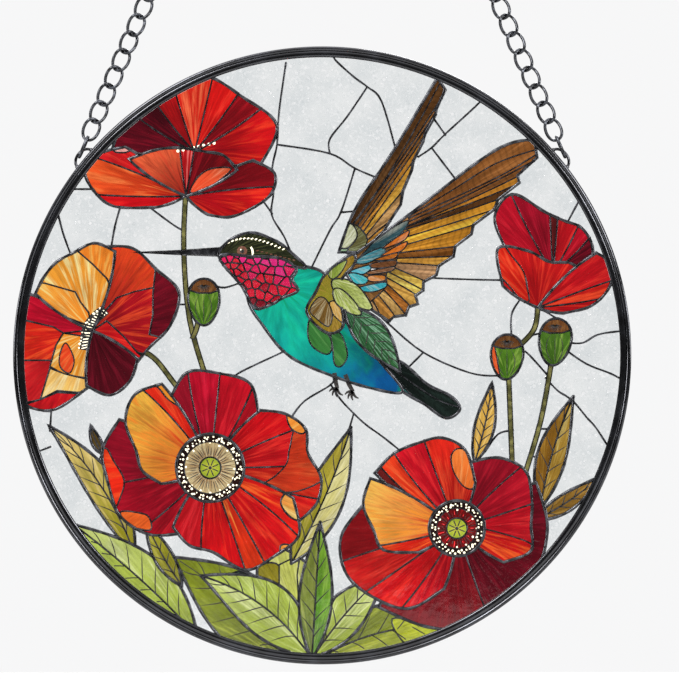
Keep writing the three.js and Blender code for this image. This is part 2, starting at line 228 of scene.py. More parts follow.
def egg(centre: Point, half_width: float, half_height: float, lean: float = 0.0) -> Run:
    """An egg, broad end up.

    Args:
        centre: its middle.
        half_width: half its width.
        half_height: half its height.
        lean: its turn in degrees.

    Returns:
        The outline.
    """
    turn = math.radians(lean)
    made = []
    for a in turns(28):
        x, z = half_width * (1 + 0.16 * math.sin(a)) * math.cos(a), half_height * math.sin(a)
        made.append((centre[0] + x * math.cos(turn) - z * math.sin(turn),
                     centre[1] + x * math.sin(turn) + z * math.cos(turn)))
    return made


def voronoi_cell(seed: Point, others: Iterable[Point], reach: float) -> Run:
    """The region nearer a seed than its neighbours.

    Args:
        seed: the cell's own seed.
        others: the seeds near it.
        reach: half the side of the square that the cell starts as.

    Returns:
        The cell's outline.
    """
    cell = [(seed[0] + sx * reach, seed[1] + sz * reach) for sx, sz in ((-1, -1), (1, -1), (1, 1), (-1, 1))]
    for other in others:
        way = (other[0] - seed[0], other[1] - seed[1])
        middle = mix(seed, other, 0.5)

        def over(p: Point) -> float:
            """How far a point lies past the line halfway to the other seed."""
            return (p[0] - middle[0]) * way[0] + (p[1] - middle[1]) * way[1]
        kept: Run = []
        for i, p in enumerate(cell):
            q = cell[(i + 1) % len(cell)]
            a, b = over(p), over(q)
            if a <= 0:
                kept.append(p)
            if (a < 0 < b) or (b < 0 < a):
                kept.append(mix(p, q, a / (a - b)))
        cell = kept
        if len(cell) < 3:
            return []
    return cell


# ---------------------------------------------------------------- what the picture is made of
@dataclass(frozen=True)
class Tone:
    """A sheet's colours as sRGB numbers: at the pivot, at its reach, and in its streaks.

    The amount is how far the streaks cover, and the grain how many there are round the pivot.
    """

    near: int
    far: int
    streak: int
    amount: float = 0.4
    reach: float = 45.0
    grain: float = 13.0


@dataclass
class Cutting:
    """A figure drawn over those before it, or over its parent alone."""

    name: str
    outline: Run
    tone: Tone
    pivot: Point
    parent: Optional[str] = None
    line: float = 1.5
    kind: Kind = Kind.GLASS
    family: Family = Family.LEAVES


@dataclass
class Cut:
    """A line that splits the glass it runs over, where its owner shows."""

    run: Run
    width: float = 1.0
    owner: Optional[str] = None


@dataclass
class Trace:
    """A painted stroke on the front of the glass, kept to where its owner shows."""

    run: Run
    width: float
    paint: Paint = Paint.BLACK
    owner: Optional[str] = None
    taper: float = 0.5
    layer: int = 0


@dataclass
class Dot:
    """A painted round spot on the front of the glass."""

    place: Point
    radius: float
    paint: Paint = Paint.CREAM
    owner: Optional[str] = None
    layer: int = 1


@dataclass
class Design:
    """All that the picture holds, from back to front."""

    cuttings: List[Cutting] = field(default_factory=list)
    cuts: List[Cut] = field(default_factory=list)
    traces: List[Trace] = field(default_factory=list)
    dots: List[Dot] = field(default_factory=list)

    def patch(self, parent: str, points: Sequence[Point], tone: Tone, line: float = 0.8,
              smooth: bool = True) -> None:
        """Adds a smaller sheet that shows only where its parent does.

        Args:
            parent: the name of the figure it is cut into.
            points: its outline.
            tone: its colours.
            line: the width of the line round it.
            smooth: whether the outline is a curve through the points.
        """
        owner = next(c for c in self.cuttings if c.name == parent)
        outline = spline(points, 5, True) if smooth else [tuple(p) for p in points]
        self.cuttings.append(Cutting(f"{parent}_{len(self.cuttings)}", outline, tone, owner.pivot, parent,
                                     line, Kind.GLASS, owner.family))


@dataclass
class Petal:
    """A fan from its heart, cut into strips that each start at one angle."""

    name: str
    heart: Point
    start: float
    stop: float
    reaches: Sequence[float]
    strips: Sequence[Tuple[float, Tone]]
    bow: float = 0.1

    def side(self, degrees: float) -> Run:
        """The run from the heart to the rim at an angle.

        Args:
            degrees: the angle.

        Returns:
            The points, heart first.
        """
        last, span = len(self.reaches) - 1, self.stop - self.start
        share = (degrees - self.start) / span
        low = min(int(share * last), last - 1)
        held = [max(0, min(last, low + k)) for k in (-1, 0, 1, 2)]
        knots = [polar(self.heart, self.start + span / last * k, self.reaches[k]) for k in held]
        end = spline_point(knots, share * last - low)
        return bowed(self.heart, end, math.copysign(self.bow, span) * (1 - 2 * share))

    def outline(self) -> Run:
        """The whole petal's outline.

        Returns:
            The closed outline.
        """
        step = (self.stop - self.start) / (len(self.reaches) - 1)
        rim = [polar(self.heart, self.start + step * i, r) for i, r in enumerate(self.reaches)]
        return self.side(self.start)[:-1] + spline(rim, 7)[:-1] + self.side(self.stop)[::-1][:-1]

    def draw(self, design: Design) -> None:
        """Adds the petal and its strips.

        Args:
            design: what they are added to.
        """
        first = self.strips[0][1]
        design.cuttings.append(Cutting(self.name, self.outline(), first, self.heart,
                                       family=Family.POPPIES))
        past = math.copysign(12, self.stop - self.start)
        for i, (angle, tone) in enumerate(self.strips[1:]):
            fold = self.side(angle)
            beyond = [polar(self.heart, a, 95) for a in np.linspace(angle, self.stop + past, 8)]
            design.cuttings.append(Cutting(f"{self.name}_strip_{i}", fold + beyond, tone, self.heart,
                                           self.name, 0.9, Kind.GLASS, Family.POPPIES))


@dataclass
class Leaf:
    """A pointed leaf with a bent middle line, its two halves and its painted veins."""

    name: str
    base: Point
    tip: Point
    width: float
    bend: float
    tones: Tuple[Tone, Tone]
    veins: int = 0
    skew: float = 0.85
    family: Family = Family.LEAVES
    rib: float = 0.9

    def place(self, share: float, side: float) -> Point:
        """A point of the leaf.

        Args:
            share: how far along it is, from base to tip.
            side: how far across, from -1 at the right edge to 1 at the left one.

        Returns:
            The point.
        """
        run = (self.tip[0] - self.base[0], self.tip[1] - self.base[1])
        length = math.hypot(*run)
        across = (-run[1] / length, run[0] / length)
        swell = math.sin(math.pi * min(max(share, 0.0), 1.0) ** self.skew) * self.width / 2
        off = 4 * self.bend * share * (1 - share) + side * swell
        return (self.base[0] + run[0] * share + across[0] * off,
                self.base[1] + run[1] * share + across[1] * off)

    def draw(self, design: Design) -> None:
        """Adds the leaf, its left half and its veins.

        Args:
            design: what they are added to.
        """
        shares = [i / 24 for i in range(24)]
        outline = [self.place(s, -1) for s in shares] + [self.place(1 - s, 1) for s in shares]
        design.cuttings.append(Cutting(self.name, outline, self.tones[0], self.base, family=self.family))
        rib = [self.place(i / 16, 0) for i in range(17)]
        if self.tones[1] is not self.tones[0]:
            wide = Leaf("", self.base, self.tip, self.width * 2, self.bend, self.tones)
            half = rib + [wide.place(1 - i / 12, 1) for i in range(1, 12)]
            design.cuttings.append(Cutting(f"{self.name}_half", half, self.tones[1], self.base, self.name,
                                           self.rib, Kind.GLASS, self.family))
        elif self.rib:
            design.traces.append(Trace([self.place(0.02 + 0.94 * i / 20, 0) for i in range(21)], self.rib,
                                       owner=self.name))
        for k in range(self.veins):
            share = 0.1 + 0.74 * (k + 0.5) / self.veins
            for side in (-1, 1):
                start = share + (0.02 if side > 0 else -0.015)
                vein = [self.place(start + 0.13 * t, side * 0.93 * t ** 1.15) for t in
                        (i / 6 for i in range(7))]
                design.traces.append(Trace(vein, 0.55, owner=self.name, taper=0.3))


@dataclass
class Wing:
    """A wing: a leading edge, a trailing edge with scallops, and feathers from a root line."""

    name: str
    leading: Sequence[Point]
    trailing: Sequence[Point]
    scallops: int
    notch: float
    root_line: Sequence[Point]
    marks: Sequence[int]
    tones: Sequence[Tone]
    base_tone: Tone

    def draw(self, design: Design) -> None:
        """Adds the wing and its feathers.

        Args:
            design: what they are added to.
        """
        root = self.leading[0]
        outline = spline(self.leading, 8)
        for i in range(self.scallops):
            tip = spline_at(self.trailing, (i + 0.5) / self.scallops)
            dent = mix(spline_at(self.trailing, (i + 1) / self.scallops), root, self.notch)
            outline += [tip, dent]
        design.cuttings.append(Cutting(self.name, outline, self.base_tone, root, family=Family.BIRD))
        sides = []
        for n, mark in enumerate(self.marks):
            share = mark / (2 * self.scallops)
            start = spline_at(self.root_line, n / (len(self.marks) - 1))
            end = spline_at(self.trailing, share)
            sides.append(bowed(start, mix(start, end, 1.12), 0.035 - 0.09 * share, 12))
        sides[0] = self.lead_out()
        for n, tone in enumerate(self.tones):
            outline = sides[n] + sides[n + 1][::-1]
            design.cuttings.append(Cutting(f"{self.name}_feather_{n}", outline, tone, root, self.name,
                                           0.75, Kind.GLASS, Family.BIRD))

    def lead_out(self) -> Run:
        """The run that bounds the first feather, outside the leading edge.

        Returns:
            The points from the root line's start to past the wing's tip.
        """
        run = spline(self.leading, 8)
        far = [(p[0] - 6, p[1] + 6) for p in run if p[1] > self.root_line[0][1]]
        end = self.trailing[0]
        return [tuple(self.root_line[0])] + far + [(end[0], end[1] + 8), (end[0] + 8, end[1] + 4)]


# ---------------------------------------------------------------- the figures
# They are drawn from back to front, and their outlines pass listed points. A neighbour's line
# hides where two meet, so an outline may run on below the figures that come after it.
def scaled(colour: int, share: float, lift: float = 0.0) -> int:
    """A colour with each channel scaled and lifted."""
    return sum(min(255, int(((colour >> s) & 255) * share + lift)) << s for s in (16, 8, 0))


RED = Tone(0x9A0A16, 0xE01418, 0xF04A28, 0.35)
WINE = Tone(0x3C0410, 0x6A0A1C, 0x8A1024)
AMBER = Tone(0xE88A24, 0xF4AC3C, 0xFAE09A, 0.6)
OLIVE = Tone(0x5C6416, 0x8A9628, 0xA8B044, 0.5, 60)
LEAF_GREEN = Tone(0x94A430, 0xB8CA5C, 0xD0DC8C, 0.5, 60)
STEM_TONE = Tone(0x3A3812, 0x5A5522, 0x77702E, 0.5)


@dataclass
class Foliage:
    """Leaves, stems and seed pods."""

    design: Design
    stem_width: float = 2.2

    def leaves(self) -> None:
        """Adds the leaves."""
        design = self.design
        straw = Tone(0x9A9222, 0xDCC070, 0xEAD694, 0.5, 70)
        pale = Tone(0xA8AE3C, 0xD0D274, 0xE2E2A0, 0.5, 55)
        lime = Tone(0x9CAE34, 0xC4D078, 0xD8E0A0, 0.5, 60)
        fresh = Tone(0x4C861E, 0x7CA634, 0x98BC54, 0.5, 60)
        moss = Tone(0x6A7A2E, 0x86923E, 0xA0A858, 0.5, 60)
        ochre = Tone(0x8E8A22, 0xB8A83C, 0xCCBC5C, 0.5, 60)
        cream = Tone(0xC8BE62, 0xE8E0A4, 0xF2ECC4, 0.5, 60)
        brown = Tone(0x9A7428, 0xBE983E, 0xD8C880, 0.5, 55)
        dark_brown = Tone(0x7A5218, 0x94691F, 0xB58A38, 0.5, 55)
        gold = Tone(0xC89A3C, 0xE4B656, 0xF0CC7C, 0.5, 40)
        Leaf("leaf_ground_left", (-14, -152), (-72, -98), 34, -4, (OLIVE, OLIVE), 6).draw(design)
        Leaf("leaf_ground_right", (-6, -150), (74, -133), 26, 8,
             (Tone(0x7C861C, 0xA2AC28, 0xB8BE48, 0.5, 70), OLIVE), 6).draw(design)
        Leaf("leaf_far_left", (-91, -97), (-133, -34), 15, -5, (straw, straw), 7).draw(design)
        Leaf("leaf_broad_left", (-61, -136), (-121, -82), 25, -2, (lime, LEAF_GREEN), 7).draw(design)
        Leaf("leaf_pale_middle", (-4, -146), (-31, -88), 33, -3, (pale, pale), 0, rib=0).draw(design)
        Leaf("leaf_tall", (-15, -101), (14, -35), 19, -2, (cream, ochre), 6).draw(design)
        Leaf("leaf_amber_right", (74, -52), (82.5, -13), 9.5, -1, (gold, gold), 6).draw(design)
        Leaf("leaf_brown_right", (106, -74), (122, -20), 14, 2, (brown, dark_brown), 5).draw(design)
        Leaf("leaf_fan_right", (-4, -146), (31, -106), 19, 2, (lime, lime), 5).draw(design)
        Leaf("leaf_broad_middle", (-6, -146), (-59, -107), 26, -6, (LEAF_GREEN, lime), 7).draw(design)
        Leaf("leaf_upright", (-5, -147), (-1, -81), 16, 0, (fresh, moss), 6).draw(design)
        teal = Tone(0x4C7C62, 0x6A9C80, 0x8CB89C, 0.5, 40)
        design.patch("leaf_ground_left", [(-50.3, -107.9), (-44.2, -106), (-40.5, -105), (-37.3, -107),
                     (-35.4, -111.6), (-35, -114.4), (-39.6, -113.9), (-44.2, -111.1)], teal)
        design.patch("leaf_ground_left", [(-72, -101), (-66, -110), (-62, -121), (-64, -130), (-70, -118)],
                     Tone(0x62661A, 0x7E7E22, 0x9A9A40))
        design.patch("leaf_pale_middle", [(-34.5, -105.4), (-31.4, -101.7), (-20.9, -102.3), (-22.1, -119.6),
                     (-27.1, -115.3), (-31.4, -107.9)], Tone(0x746A16, 0x968A22, 0xB0A444, 0.5))
        design.patch("leaf_pale_middle", [(-20.9, -101.7), (-14.7, -98.6), (-9.7, -89.9), (-12.2, -106.6),
                     (-11.6, -115.9), (-12.2, -129.5), (-20.9, -122.1)],
                     Tone(0xA8AE44, 0xCCD068, 0xE0E094, 0.5), smooth=False)
        design.patch("leaf_fan_right", [(4.2, -111), (9.5, -106.6), (12.6, -106.6), (9, -113), (4.5, -120.3)],
                     Tone(0x6E9030, 0x8CAC40, 0xA4C060, 0.5))
        design.patch("leaf_ground_right", [(34, -128), (52, -130), (72, -133), (60, -140), (42, -141)],
                     Tone(0x98A01A, 0xB2BA28, 0xC8CC50, 0.5))

    def slender(self) -> None:
        """Adds the small leaves that the bigger ones leave room for."""
        design = self.design
        Leaf("leaf_stalk_left", (-68, -112), (-86, -80), 9, 1,
             (Tone(0x8C8A22, 0xB0A838, 0xC8C060, 0.5, 40),) * 2, 4).draw(design)
        Leaf("leaf_sepal_left", (-106.5, -48), (-112.5, -34), 4.6, 0.6,
             (Tone(0x4A3A18, 0x5E4A22, 0x7C6434, 0.5, 20),) * 2, 0).draw(design)
        design.cuts.append(Cut(spline([(-107, -47), (-108.4, -51), (-109.8, -55)], 5), 0.6))
        Leaf("leaf_low_right", (103, -80), (134.5, -59), 8.5, -1.5,
             (Tone(0x7A5A20, 0x946C2C, 0xB48E44, 0.5, 40),) * 2, 4).draw(design)

    def stems(self) -> None:
        """Adds the stems."""
        design = self.design
        runs = [[(-66.2, 80), (-67.2, 51.2), (-64.3, 17.1), (-56, -12)], [(-60, 18), (-61, 13), (-63, 8)],
                [(-92, 4), (-82, -1), (-73, -12), (-67, -20)], [(104.8, 26), (103, 13), (95, 4)],
                [(90.5, -9), (92.2, -52)], [(111.5, -2), (106, -32), (97, -62)]]
        for i, run in enumerate(runs):
            design.cuttings.append(Cutting(f"stem_{i}", band(run, self.stem_width), STEM_TONE, run[0],
                                           line=0.5, kind=Kind.BAR))

    def pods(self) -> None:
        """Adds the seed pods with their crowns."""
        design = self.design
        green = Tone(0x3E6A16, 0x5C8A28, 0x98B850, 0.55, 22, 5)
        deep = Tone(0x3A5E18, 0x54802A, 0x88A848, 0.55, 22, 5)
        cap = Tone(0x4A2A14, 0x6A4020, 0x94683A, 0.5, 14)
        for name, centre, w, h, lean, tone in (
                ("pod_left", (-57.5, 25.9), 7.6, 11.4, 0, green),
                ("pod_right_near", (89.7, -0.8), 7.8, 11, -4, green),
                ("pod_right_far", (113, 6.5), 7.8, 11.5, -8, deep)):
            foot = (centre[0], centre[1] - h)
            design.cuttings.append(Cutting(name, egg(centre, w, h, lean), tone, foot, line=1.3))
            top = centre[1] + h
            crown = [(centre[0] - w * 1.3, top + 3), (centre[0] + w * 1.4, top + 3),
                     (centre[0] + w * 1.15, top - h * 0.46), (centre[0] + w * 0.45, top - h * 0.62),
                     (centre[0] - w * 0.35, top - h * 0.62), (centre[0] - w * 1.1, top - h * 0.46)]
            if name == "pod_right_near":
                design.patch(name, [(80, 4), (83, 6), (84.6, 0), (86, -8), (87, -13), (80, -8)],
                             Tone(0xE0461C, 0xF0642C, 0xF89060, 0.5, 20), 0.7)
            design.patch(name, crown, cap, 0.9, False)
            hub = (centre[0], top - h * 0.25)
            for k in range(9):
                spoke = [polar(hub, 200 + 17.5 * k, r) for r in (0.5, 2, 3.6)]
                design.traces.append(Trace(spoke, 0.5, Paint.BLACK, name, 0.6, 1))
            for side in (-0.55, 0, 0.5):
                rib = [(centre[0] + w * side * math.sin(math.pi * (0.12 + 0.75 * t)), foot[1] + 2 + h * 1.2 * t)
                       for t in (i / 6 for i in range(7))]
                design.traces.append(Trace(rib, 0.4, Paint.BLACK, name, 0.3))

    def draw(self) -> None:
        """Adds all the foliage to the design."""
        self.leaves()
        self.slender()
        self.stems()
        self.pods()


@dataclass
class Poppies:
    """The five open and half-open poppies."""

    design: Design
    top: Point = (-62, 98.6)
    top_foot: Point = (-66.2, 77.3)
    left: Point = (-111.6, 12)
    right: Point = (112, 40)
    right_foot: Point = (104.6, 23.2)
    large: Point = (-54.4, -54.6)
    low: Point = (65.4, -84)
    seed: int = 5

    def top_poppy(self) -> None:
        """Adds the poppy at the top left."""
        design = self.design
        dark = Tone(0x3A0410, 0x560616, 0x7A0C1E)
        Petal("poppy_top_back", self.top, 178, -14, [40, 39, 38, 37.5, 35.5, 42, 32], [
            (178, WINE), (147, dark), (127, Tone(0x7A0810, 0xDC181A, 0x6A0A10, 0.6)),
            (107, Tone(0xD01A14, 0xF0301E, 0xF47048, 0.7)), (76, Tone(0xC01012, 0xEA1A16, 0xF24030)),
            (53, Tone(0x6A0812, 0x9C0E1A, 0xB81824)), (35, RED)]).draw(design)
        Petal("poppy_top_wing_right", self.top_foot, 28, -40, [37, 44.5, 41, 31, 23, 14], [
            (28, Tone(0x5A0610, 0x7E0A14, 0x9A1220)), (6, RED)]).draw(design)
        Petal("poppy_top_wing_left", self.top_foot, 141, 200, [38, 46, 51, 45, 35, 16], [
            (141, Tone(0xB81018, 0xE22024, 0xF04A38)), (157, Tone(0xB01C10, 0xF45824, 0xF88848, 0.5)),
            (179, Tone(0xB80A14, 0xE4101C, 0xEE3024))]).draw(design)
        Petal("poppy_top_cup", self.top_foot, 147, 27, [33, 27.5, 24.5, 23, 23.5, 27, 28], [
            (147, Tone(0x7A0A12, 0xF4683E, 0xB81418, 0.5, 30)), (97, Tone(0x9A0C14, 0xDC1A1C, 0xF49088, 0.6)),
            (80, Tone(0x560610, 0x820C16, 0xA41420, 0.5))]).draw(design)
        design.patch("poppy_top_cup", [(-64.2, 79.3), (-60.2, 86.7), (-53.5, 90.7), (-44.2, 90.7),
                     (-50.2, 84.7), (-58.2, 80)], Tone(0xE84A28, 0xF67848, 0xF8A080, 0.5))
        design.patch("poppy_top_wing_left", [(-101, 99), (-97, 102.4), (-91, 101.8), (-95, 98.6)],
                     Tone(0xF08078, 0xF4A098, 0xF8C0B8))
        for i in range(8):
            design.dots.append(Dot((-70 + 2.5 * i, 99.2 + 0.55 * i), 0.75))

    def left_poppy(self) -> None:
        """Adds the poppy at the left rim."""
        design = self.design
        h = self.left
        orange_red = Tone(0xB81414, 0xE42C1A, 0xF45A28, 0.45)
        Petal("poppy_left_rim_side", h, 150, 265, [36, 40, 44, 50, 44, 28], [(150, orange_red)]).draw(design)
        for points, tone in (
                ([(-160, 36), (-139.3, 29.4), (-129.9, 25.5), (-122.8, 24.4), (-115.7, 17.3), (-111.6, 12),
                  (-118.1, 11.7), (-125.7, 10.8), (-130.5, 13.8), (-143, 16.7), (-160, 20)],
                 Tone(0x9A0820, 0xCC0C2C, 0xE01C38)),
                ([(-160, -2.4), (-145, -2.4), (-131.6, -2.4), (-128, -12), (-136.9, -21.5), (-160, -26)],
                 Tone(0xA01018, 0xCA1C22, 0xDC3430)),
                ([(-125.7, 10.8), (-129.3, 4.9), (-132.2, -5.4), (-124, -10), (-112.8, -11), (-100, -4),
                  (-108, 8)], AMBER),
                ([(-132.2, -6.2), (-125, -9), (-112, -12), (-106, -16), (-118.7, -18), (-128.7, -17.1),
                  (-136.9, -21.5)], Tone(0xF0B050, 0xF8CC78, 0xFCE8B4, 0.6)),
                ([(-145, -24), (-136.9, -21.5), (-128.7, -18), (-118.7, -18.5), (-104, -17), (-104, -40),
                  (-145, -40)], Tone(0xA00C18, 0xD01420, 0xE83028))):
            design.patch("poppy_left_rim_side", points, tone, 0.9, False)
        design.patch("poppy_left_rim_side", [(-124.5, 6), (-127.5, 0), (-127, -6), (-122.5, -8.5),
                                             (-120.5, -2)],
                     Tone(0xE03A1C, 0xF05A28, 0xF88848, 0.5), 0.7)
        Petal("poppy_left_right", h, 84, -36, [41, 44.5, 43, 46, 38, 29, 26.5], [
            (84, Tone(0x8A0A1A, 0xEC4A1E, 0xC01420, 0.45))]).draw(design)
        for points, tone in (
                ([(-111.6, 12), (-105, 22), (-99.8, 27.9), (-91, 31), (-82.2, 32.9), (-55, 34), (-55, -6),
                  (-89.8, 1.4), (-96.3, 9.1), (-104.5, 16.7)], Tone(0x8A0C18, 0xC41420, 0xF05A28, 0.45)),
                ([(-81, 46), (-81, 41.4), (-82.2, 30), (-82.2, 19.7), (-83.9, 10.2), (-55, 2), (-55, 46)],
                 WINE),
                ([(-111.6, 12), (-104.5, 16.7), (-96.3, 9.1), (-89.8, 1.4), (-78, -8), (-88.7, -2.7),
                  (-94, -2.7), (-97.5, 0.2), (-113.4, 3.2)], Tone(0xC01018, 0xE61A1E, 0xF44430))):
            design.patch("poppy_left_right", points, tone, 0.9, False)
        Petal("poppy_left_low", h, -32, -96, [26, 30.5, 32.5, 27], [
            (-32, Tone(0x40040F, 0x5E0A1A, 0x7A1226))]).draw(design)
        Petal("poppy_left_amber", h, 74, 147, [40, 42.5, 39, 37.5, 35, 33], [
            (74, Tone(0xEC8A26, 0xF4A83A, 0xFAE29C, 0.75))]).draw(design)
        design.patch("poppy_left_amber", [(-118.4, 56), (-118.4, 50.3), (-111.6, 44.4), (-104.6, 37.3),
                     (-101.3, 30.3), (-90, 60)], Tone(0xEE7A1E, 0xF28A2C, 0xF8C060, 0.6), 0.9, False)
        design.patch("poppy_left_amber", [(-144, 36), (-134.6, 35), (-119.9, 30.8), (-117.5, 26.1),
                     (-113.4, 20.8), (-112, 14), (-123, 18), (-140, 24)],
                     Tone(0xF08826, 0xF6B048, 0xFAD488, 0.6), 0.9, False)
        arc = spline([(-105.1, 22.3), (-109.8, 18.5), (-113.4, 13.8), (-115.1, 7.9), (-116, 2.6)], 8)
        design.traces.append(Trace(arc, 5.6, Paint.BLACK, taper=0.7))
        rng = random.Random(self.seed)
        for i in range(2, len(arc) - 1, 2):
            p = arc[i]
            way = math.degrees(heading((-92, 10), p))
            design.traces.append(Trace([polar(p, way, -2.1), polar(p, way, 1.0)], 0.5, Paint.CREAM, taper=1,
                                       layer=1))
            design.dots.append(Dot(polar(p, way + rng.uniform(-30, 30), 2.2), rng.uniform(0.4, 0.6)))

    def right_poppy(self) -> None:
        """Adds the poppy at the right rim."""
        design = self.design
        Petal("poppy_right_back", self.right, 156, 20, [24, 39, 43, 30, 26, 26, 24, 21], [
            (156, Tone(0x9A0A1C, 0xC41028, 0xDC2838)), (118, Tone(0x7C081A, 0xA40C26, 0xBE1C34)),
            (93, Tone(0x4C0E12, 0x6C1A1C, 0x8A2826)), (85, Tone(0x9A0C16, 0xD01420, 0xE83A30)),
            (62, Tone(0x9A0A1C, 0xC41028, 0xDC2838)), (44, WINE)]).draw(design)
        Petal("poppy_right_cup", self.right_foot, 148, 28, [20, 34.5, 28, 23, 27, 28], [
            (148, Tone(0xA40E14, 0xDC1E1C, 0xF0442C, 0.45))]).draw(design)
        for points, tone in (
                ([(76, 46), (84.8, 56), (92.2, 48), (97.8, 40.5), (99.6, 32.5), (100.3, 26.3), (95.9, 27.5),
                  (88.5, 36.2)], Tone(0xC01A12, 0xF02A18, 0xF66038, 0.5)),
                ([(107.7, 27.5), (112, 31.9), (125.7, 37.5), (129.4, 33.1), (118.2, 26.3), (115.1, 22.6),
                  (106.4, 23.8)], Tone(0xB81C18, 0xE43A22, 0xF4683C, 0.5)),
                ([(106, 22), (112, 25), (118.8, 27), (130, 33.5), (138, 30), (126.3, 22), (116, 20)],
                 Tone(0xB8160F, 0xE42E1C, 0xF2582E, 0.5))):
            design.patch("poppy_right_cup", points, tone)
        Petal("poppy_right_wing", self.right_foot, 43, -12, [39, 42, 36, 26, 13], [
            (43, Tone(0x9E0C14, 0xDA1622, 0xEE3A2C, 0.45)), (20, Tone(0xA80E12, 0xE42A1C, 0xF2582E, 0.45)),
            (8, RED)]).draw(design)

    def large_poppy(self) -> None:
        """Adds the big poppy at the lower left."""
        design = self.design
        h = self.large
        Petal("poppy_large_up", h, 124, 44, [37, 47.5, 46, 45, 33], [
            (124, Tone(0x780A1C, 0xA21228, 0xBE2038)), (103, Tone(0x8A0A1C, 0xC20C2A, 0xDC2440)),
            (84, Tone(0x960A18, 0xCE1024, 0xE62A34)), (62, Tone(0x8A0A18, 0xB80E20, 0xD0202C))
            ]).draw(design)
        Petal("poppy_large_left", h, 152, 246, [50, 53, 50, 49.5, 44, 35], [
            (152, Tone(0x5E0616, 0x900C22, 0xAC1830)), (190, Tone(0x6E0616, 0xA40C22, 0xC01C2E)),
            (222, Tone(0x7A0818, 0xB41022, 0xD02830))]).draw(design)
        design.patch("poppy_large_left", [(-107.2, -47.1), (-104.5, -45.5), (-101.5, -50.9), (-96.2, -60.7),
                     (-98.4, -69.8), (-100.7, -73.6), (-103, -66.8), (-104.5, -58.4)],
                     Tone(0xD01410, 0xE82A14, 0xF25A28, 0.5))
        design.patch("poppy_large_left", [(-97.7, -75.9), (-87.8, -76.7), (-84, -78.9), (-83.2, -84.6),
                     (-90.1, -84), (-96.4, -81.7)], Tone(0xF04A1C, 0xF46A28, 0xF89448, 0.5))
        Petal("poppy_large_right", h, 49, -32, [37, 45, 50, 48, 54, 54.5, 50], [
            (49, Tone(0x9C0A12, 0xD40C18, 0xE83028, 0.45)), (24, Tone(0xA00C12, 0xD81420, 0xEE3A2C, 0.45)),
            (2, Tone(0xA40E14, 0xCC2418, 0xE0502C, 0.45)), (-16, Tone(0xB00E14, 0xDC1A1C, 0xF04A2C, 0.45))
            ]).draw(design)
        design.patch("poppy_large_right", [(-11.1, -34), (-15.7, -44.8), (-17.2, -52.4), (-22.5, -58.4),
                     (-30.1, -64.5), (-12, -66), (6, -56), (8, -40)], Tone(0xA02014, 0xCE3A1C, 0xE06034, 0.5))
        design.patch("poppy_large_right", [(-17.2, -29.6), (-14.2, -27.8), (-7.9, -31.6), (-9, -37.9),
                     (-14.9, -35.7)], Tone(0xF07A24, 0xF49638, 0xF8BC68, 0.5))
        Petal("poppy_large_bottom", h, 238, 340, [34, 39, 41, 52.5, 53, 54, 43], [
            (238, Tone(0x9A0C14, 0xD01622, 0xE4343A, 0.45)), (264, Tone(0xA00C12, 0xDA1018, 0xF03C24, 0.45)),
            (289, Tone(0xB41812, 0xE83A18, 0xF8B050, 0.6)), (300, Tone(0xA80C12, 0xDC141A, 0xF04A2C, 0.45)),
            (322, Tone(0xB80E12, 0xE42018, 0xF8702C, 0.55))]).draw(design)
        design.patch("poppy_large_bottom", [(-19.5, -69.1), (-14.2, -63), (-6.6, -58.4), (-2, -58.4),
                     (-0.5, -62.2), (-1.3, -72.1), (-3.6, -77.4), (-8.9, -80.5), (-14.9, -78.9),
                     (-19.5, -73.6)], Tone(0xF04818, 0xF8C45C, 0xFAD88C, 0.6, 60), 1.0)
        design.patch("poppy_large_bottom", [(-20.3, -92.6), (-15.7, -92.6), (-16.5, -99.9), (-19.5, -100.7)],
                     Tone(0xF08A34, 0xF49A3C, 0xF8B868))
        Petal("poppy_large_front", h, 120, 198, [47, 51, 47, 37, 33, 25], [
            (120, Tone(0xC01410, 0xEC2E18, 0xF45A30, 0.5)),
            (131, Tone(0xD81C14, 0xFAC048, 0xF47A28, 0.6, 50))]).draw(design)
        design.patch("poppy_large_front", [(-83.2, -12.1), (-81.7, -9), (-75.7, -10.8), (-72.6, -17.5),
                     (-69.6, -24.3), (-74.9, -21.3), (-78.7, -16.7)], Tone(0xEC7A20, 0xF4982F, 0xF8BC60, 0.5))
        self.centre("poppy_large_centre", h, 16.5, 13.2, 5.2, Tone(0x8A5A34, 0xCDB684, 0xE8D8AC, 0.8, 13, 16),
                 Tone(0x1C0E0C, 0x2A1410, 0x3C1C14))

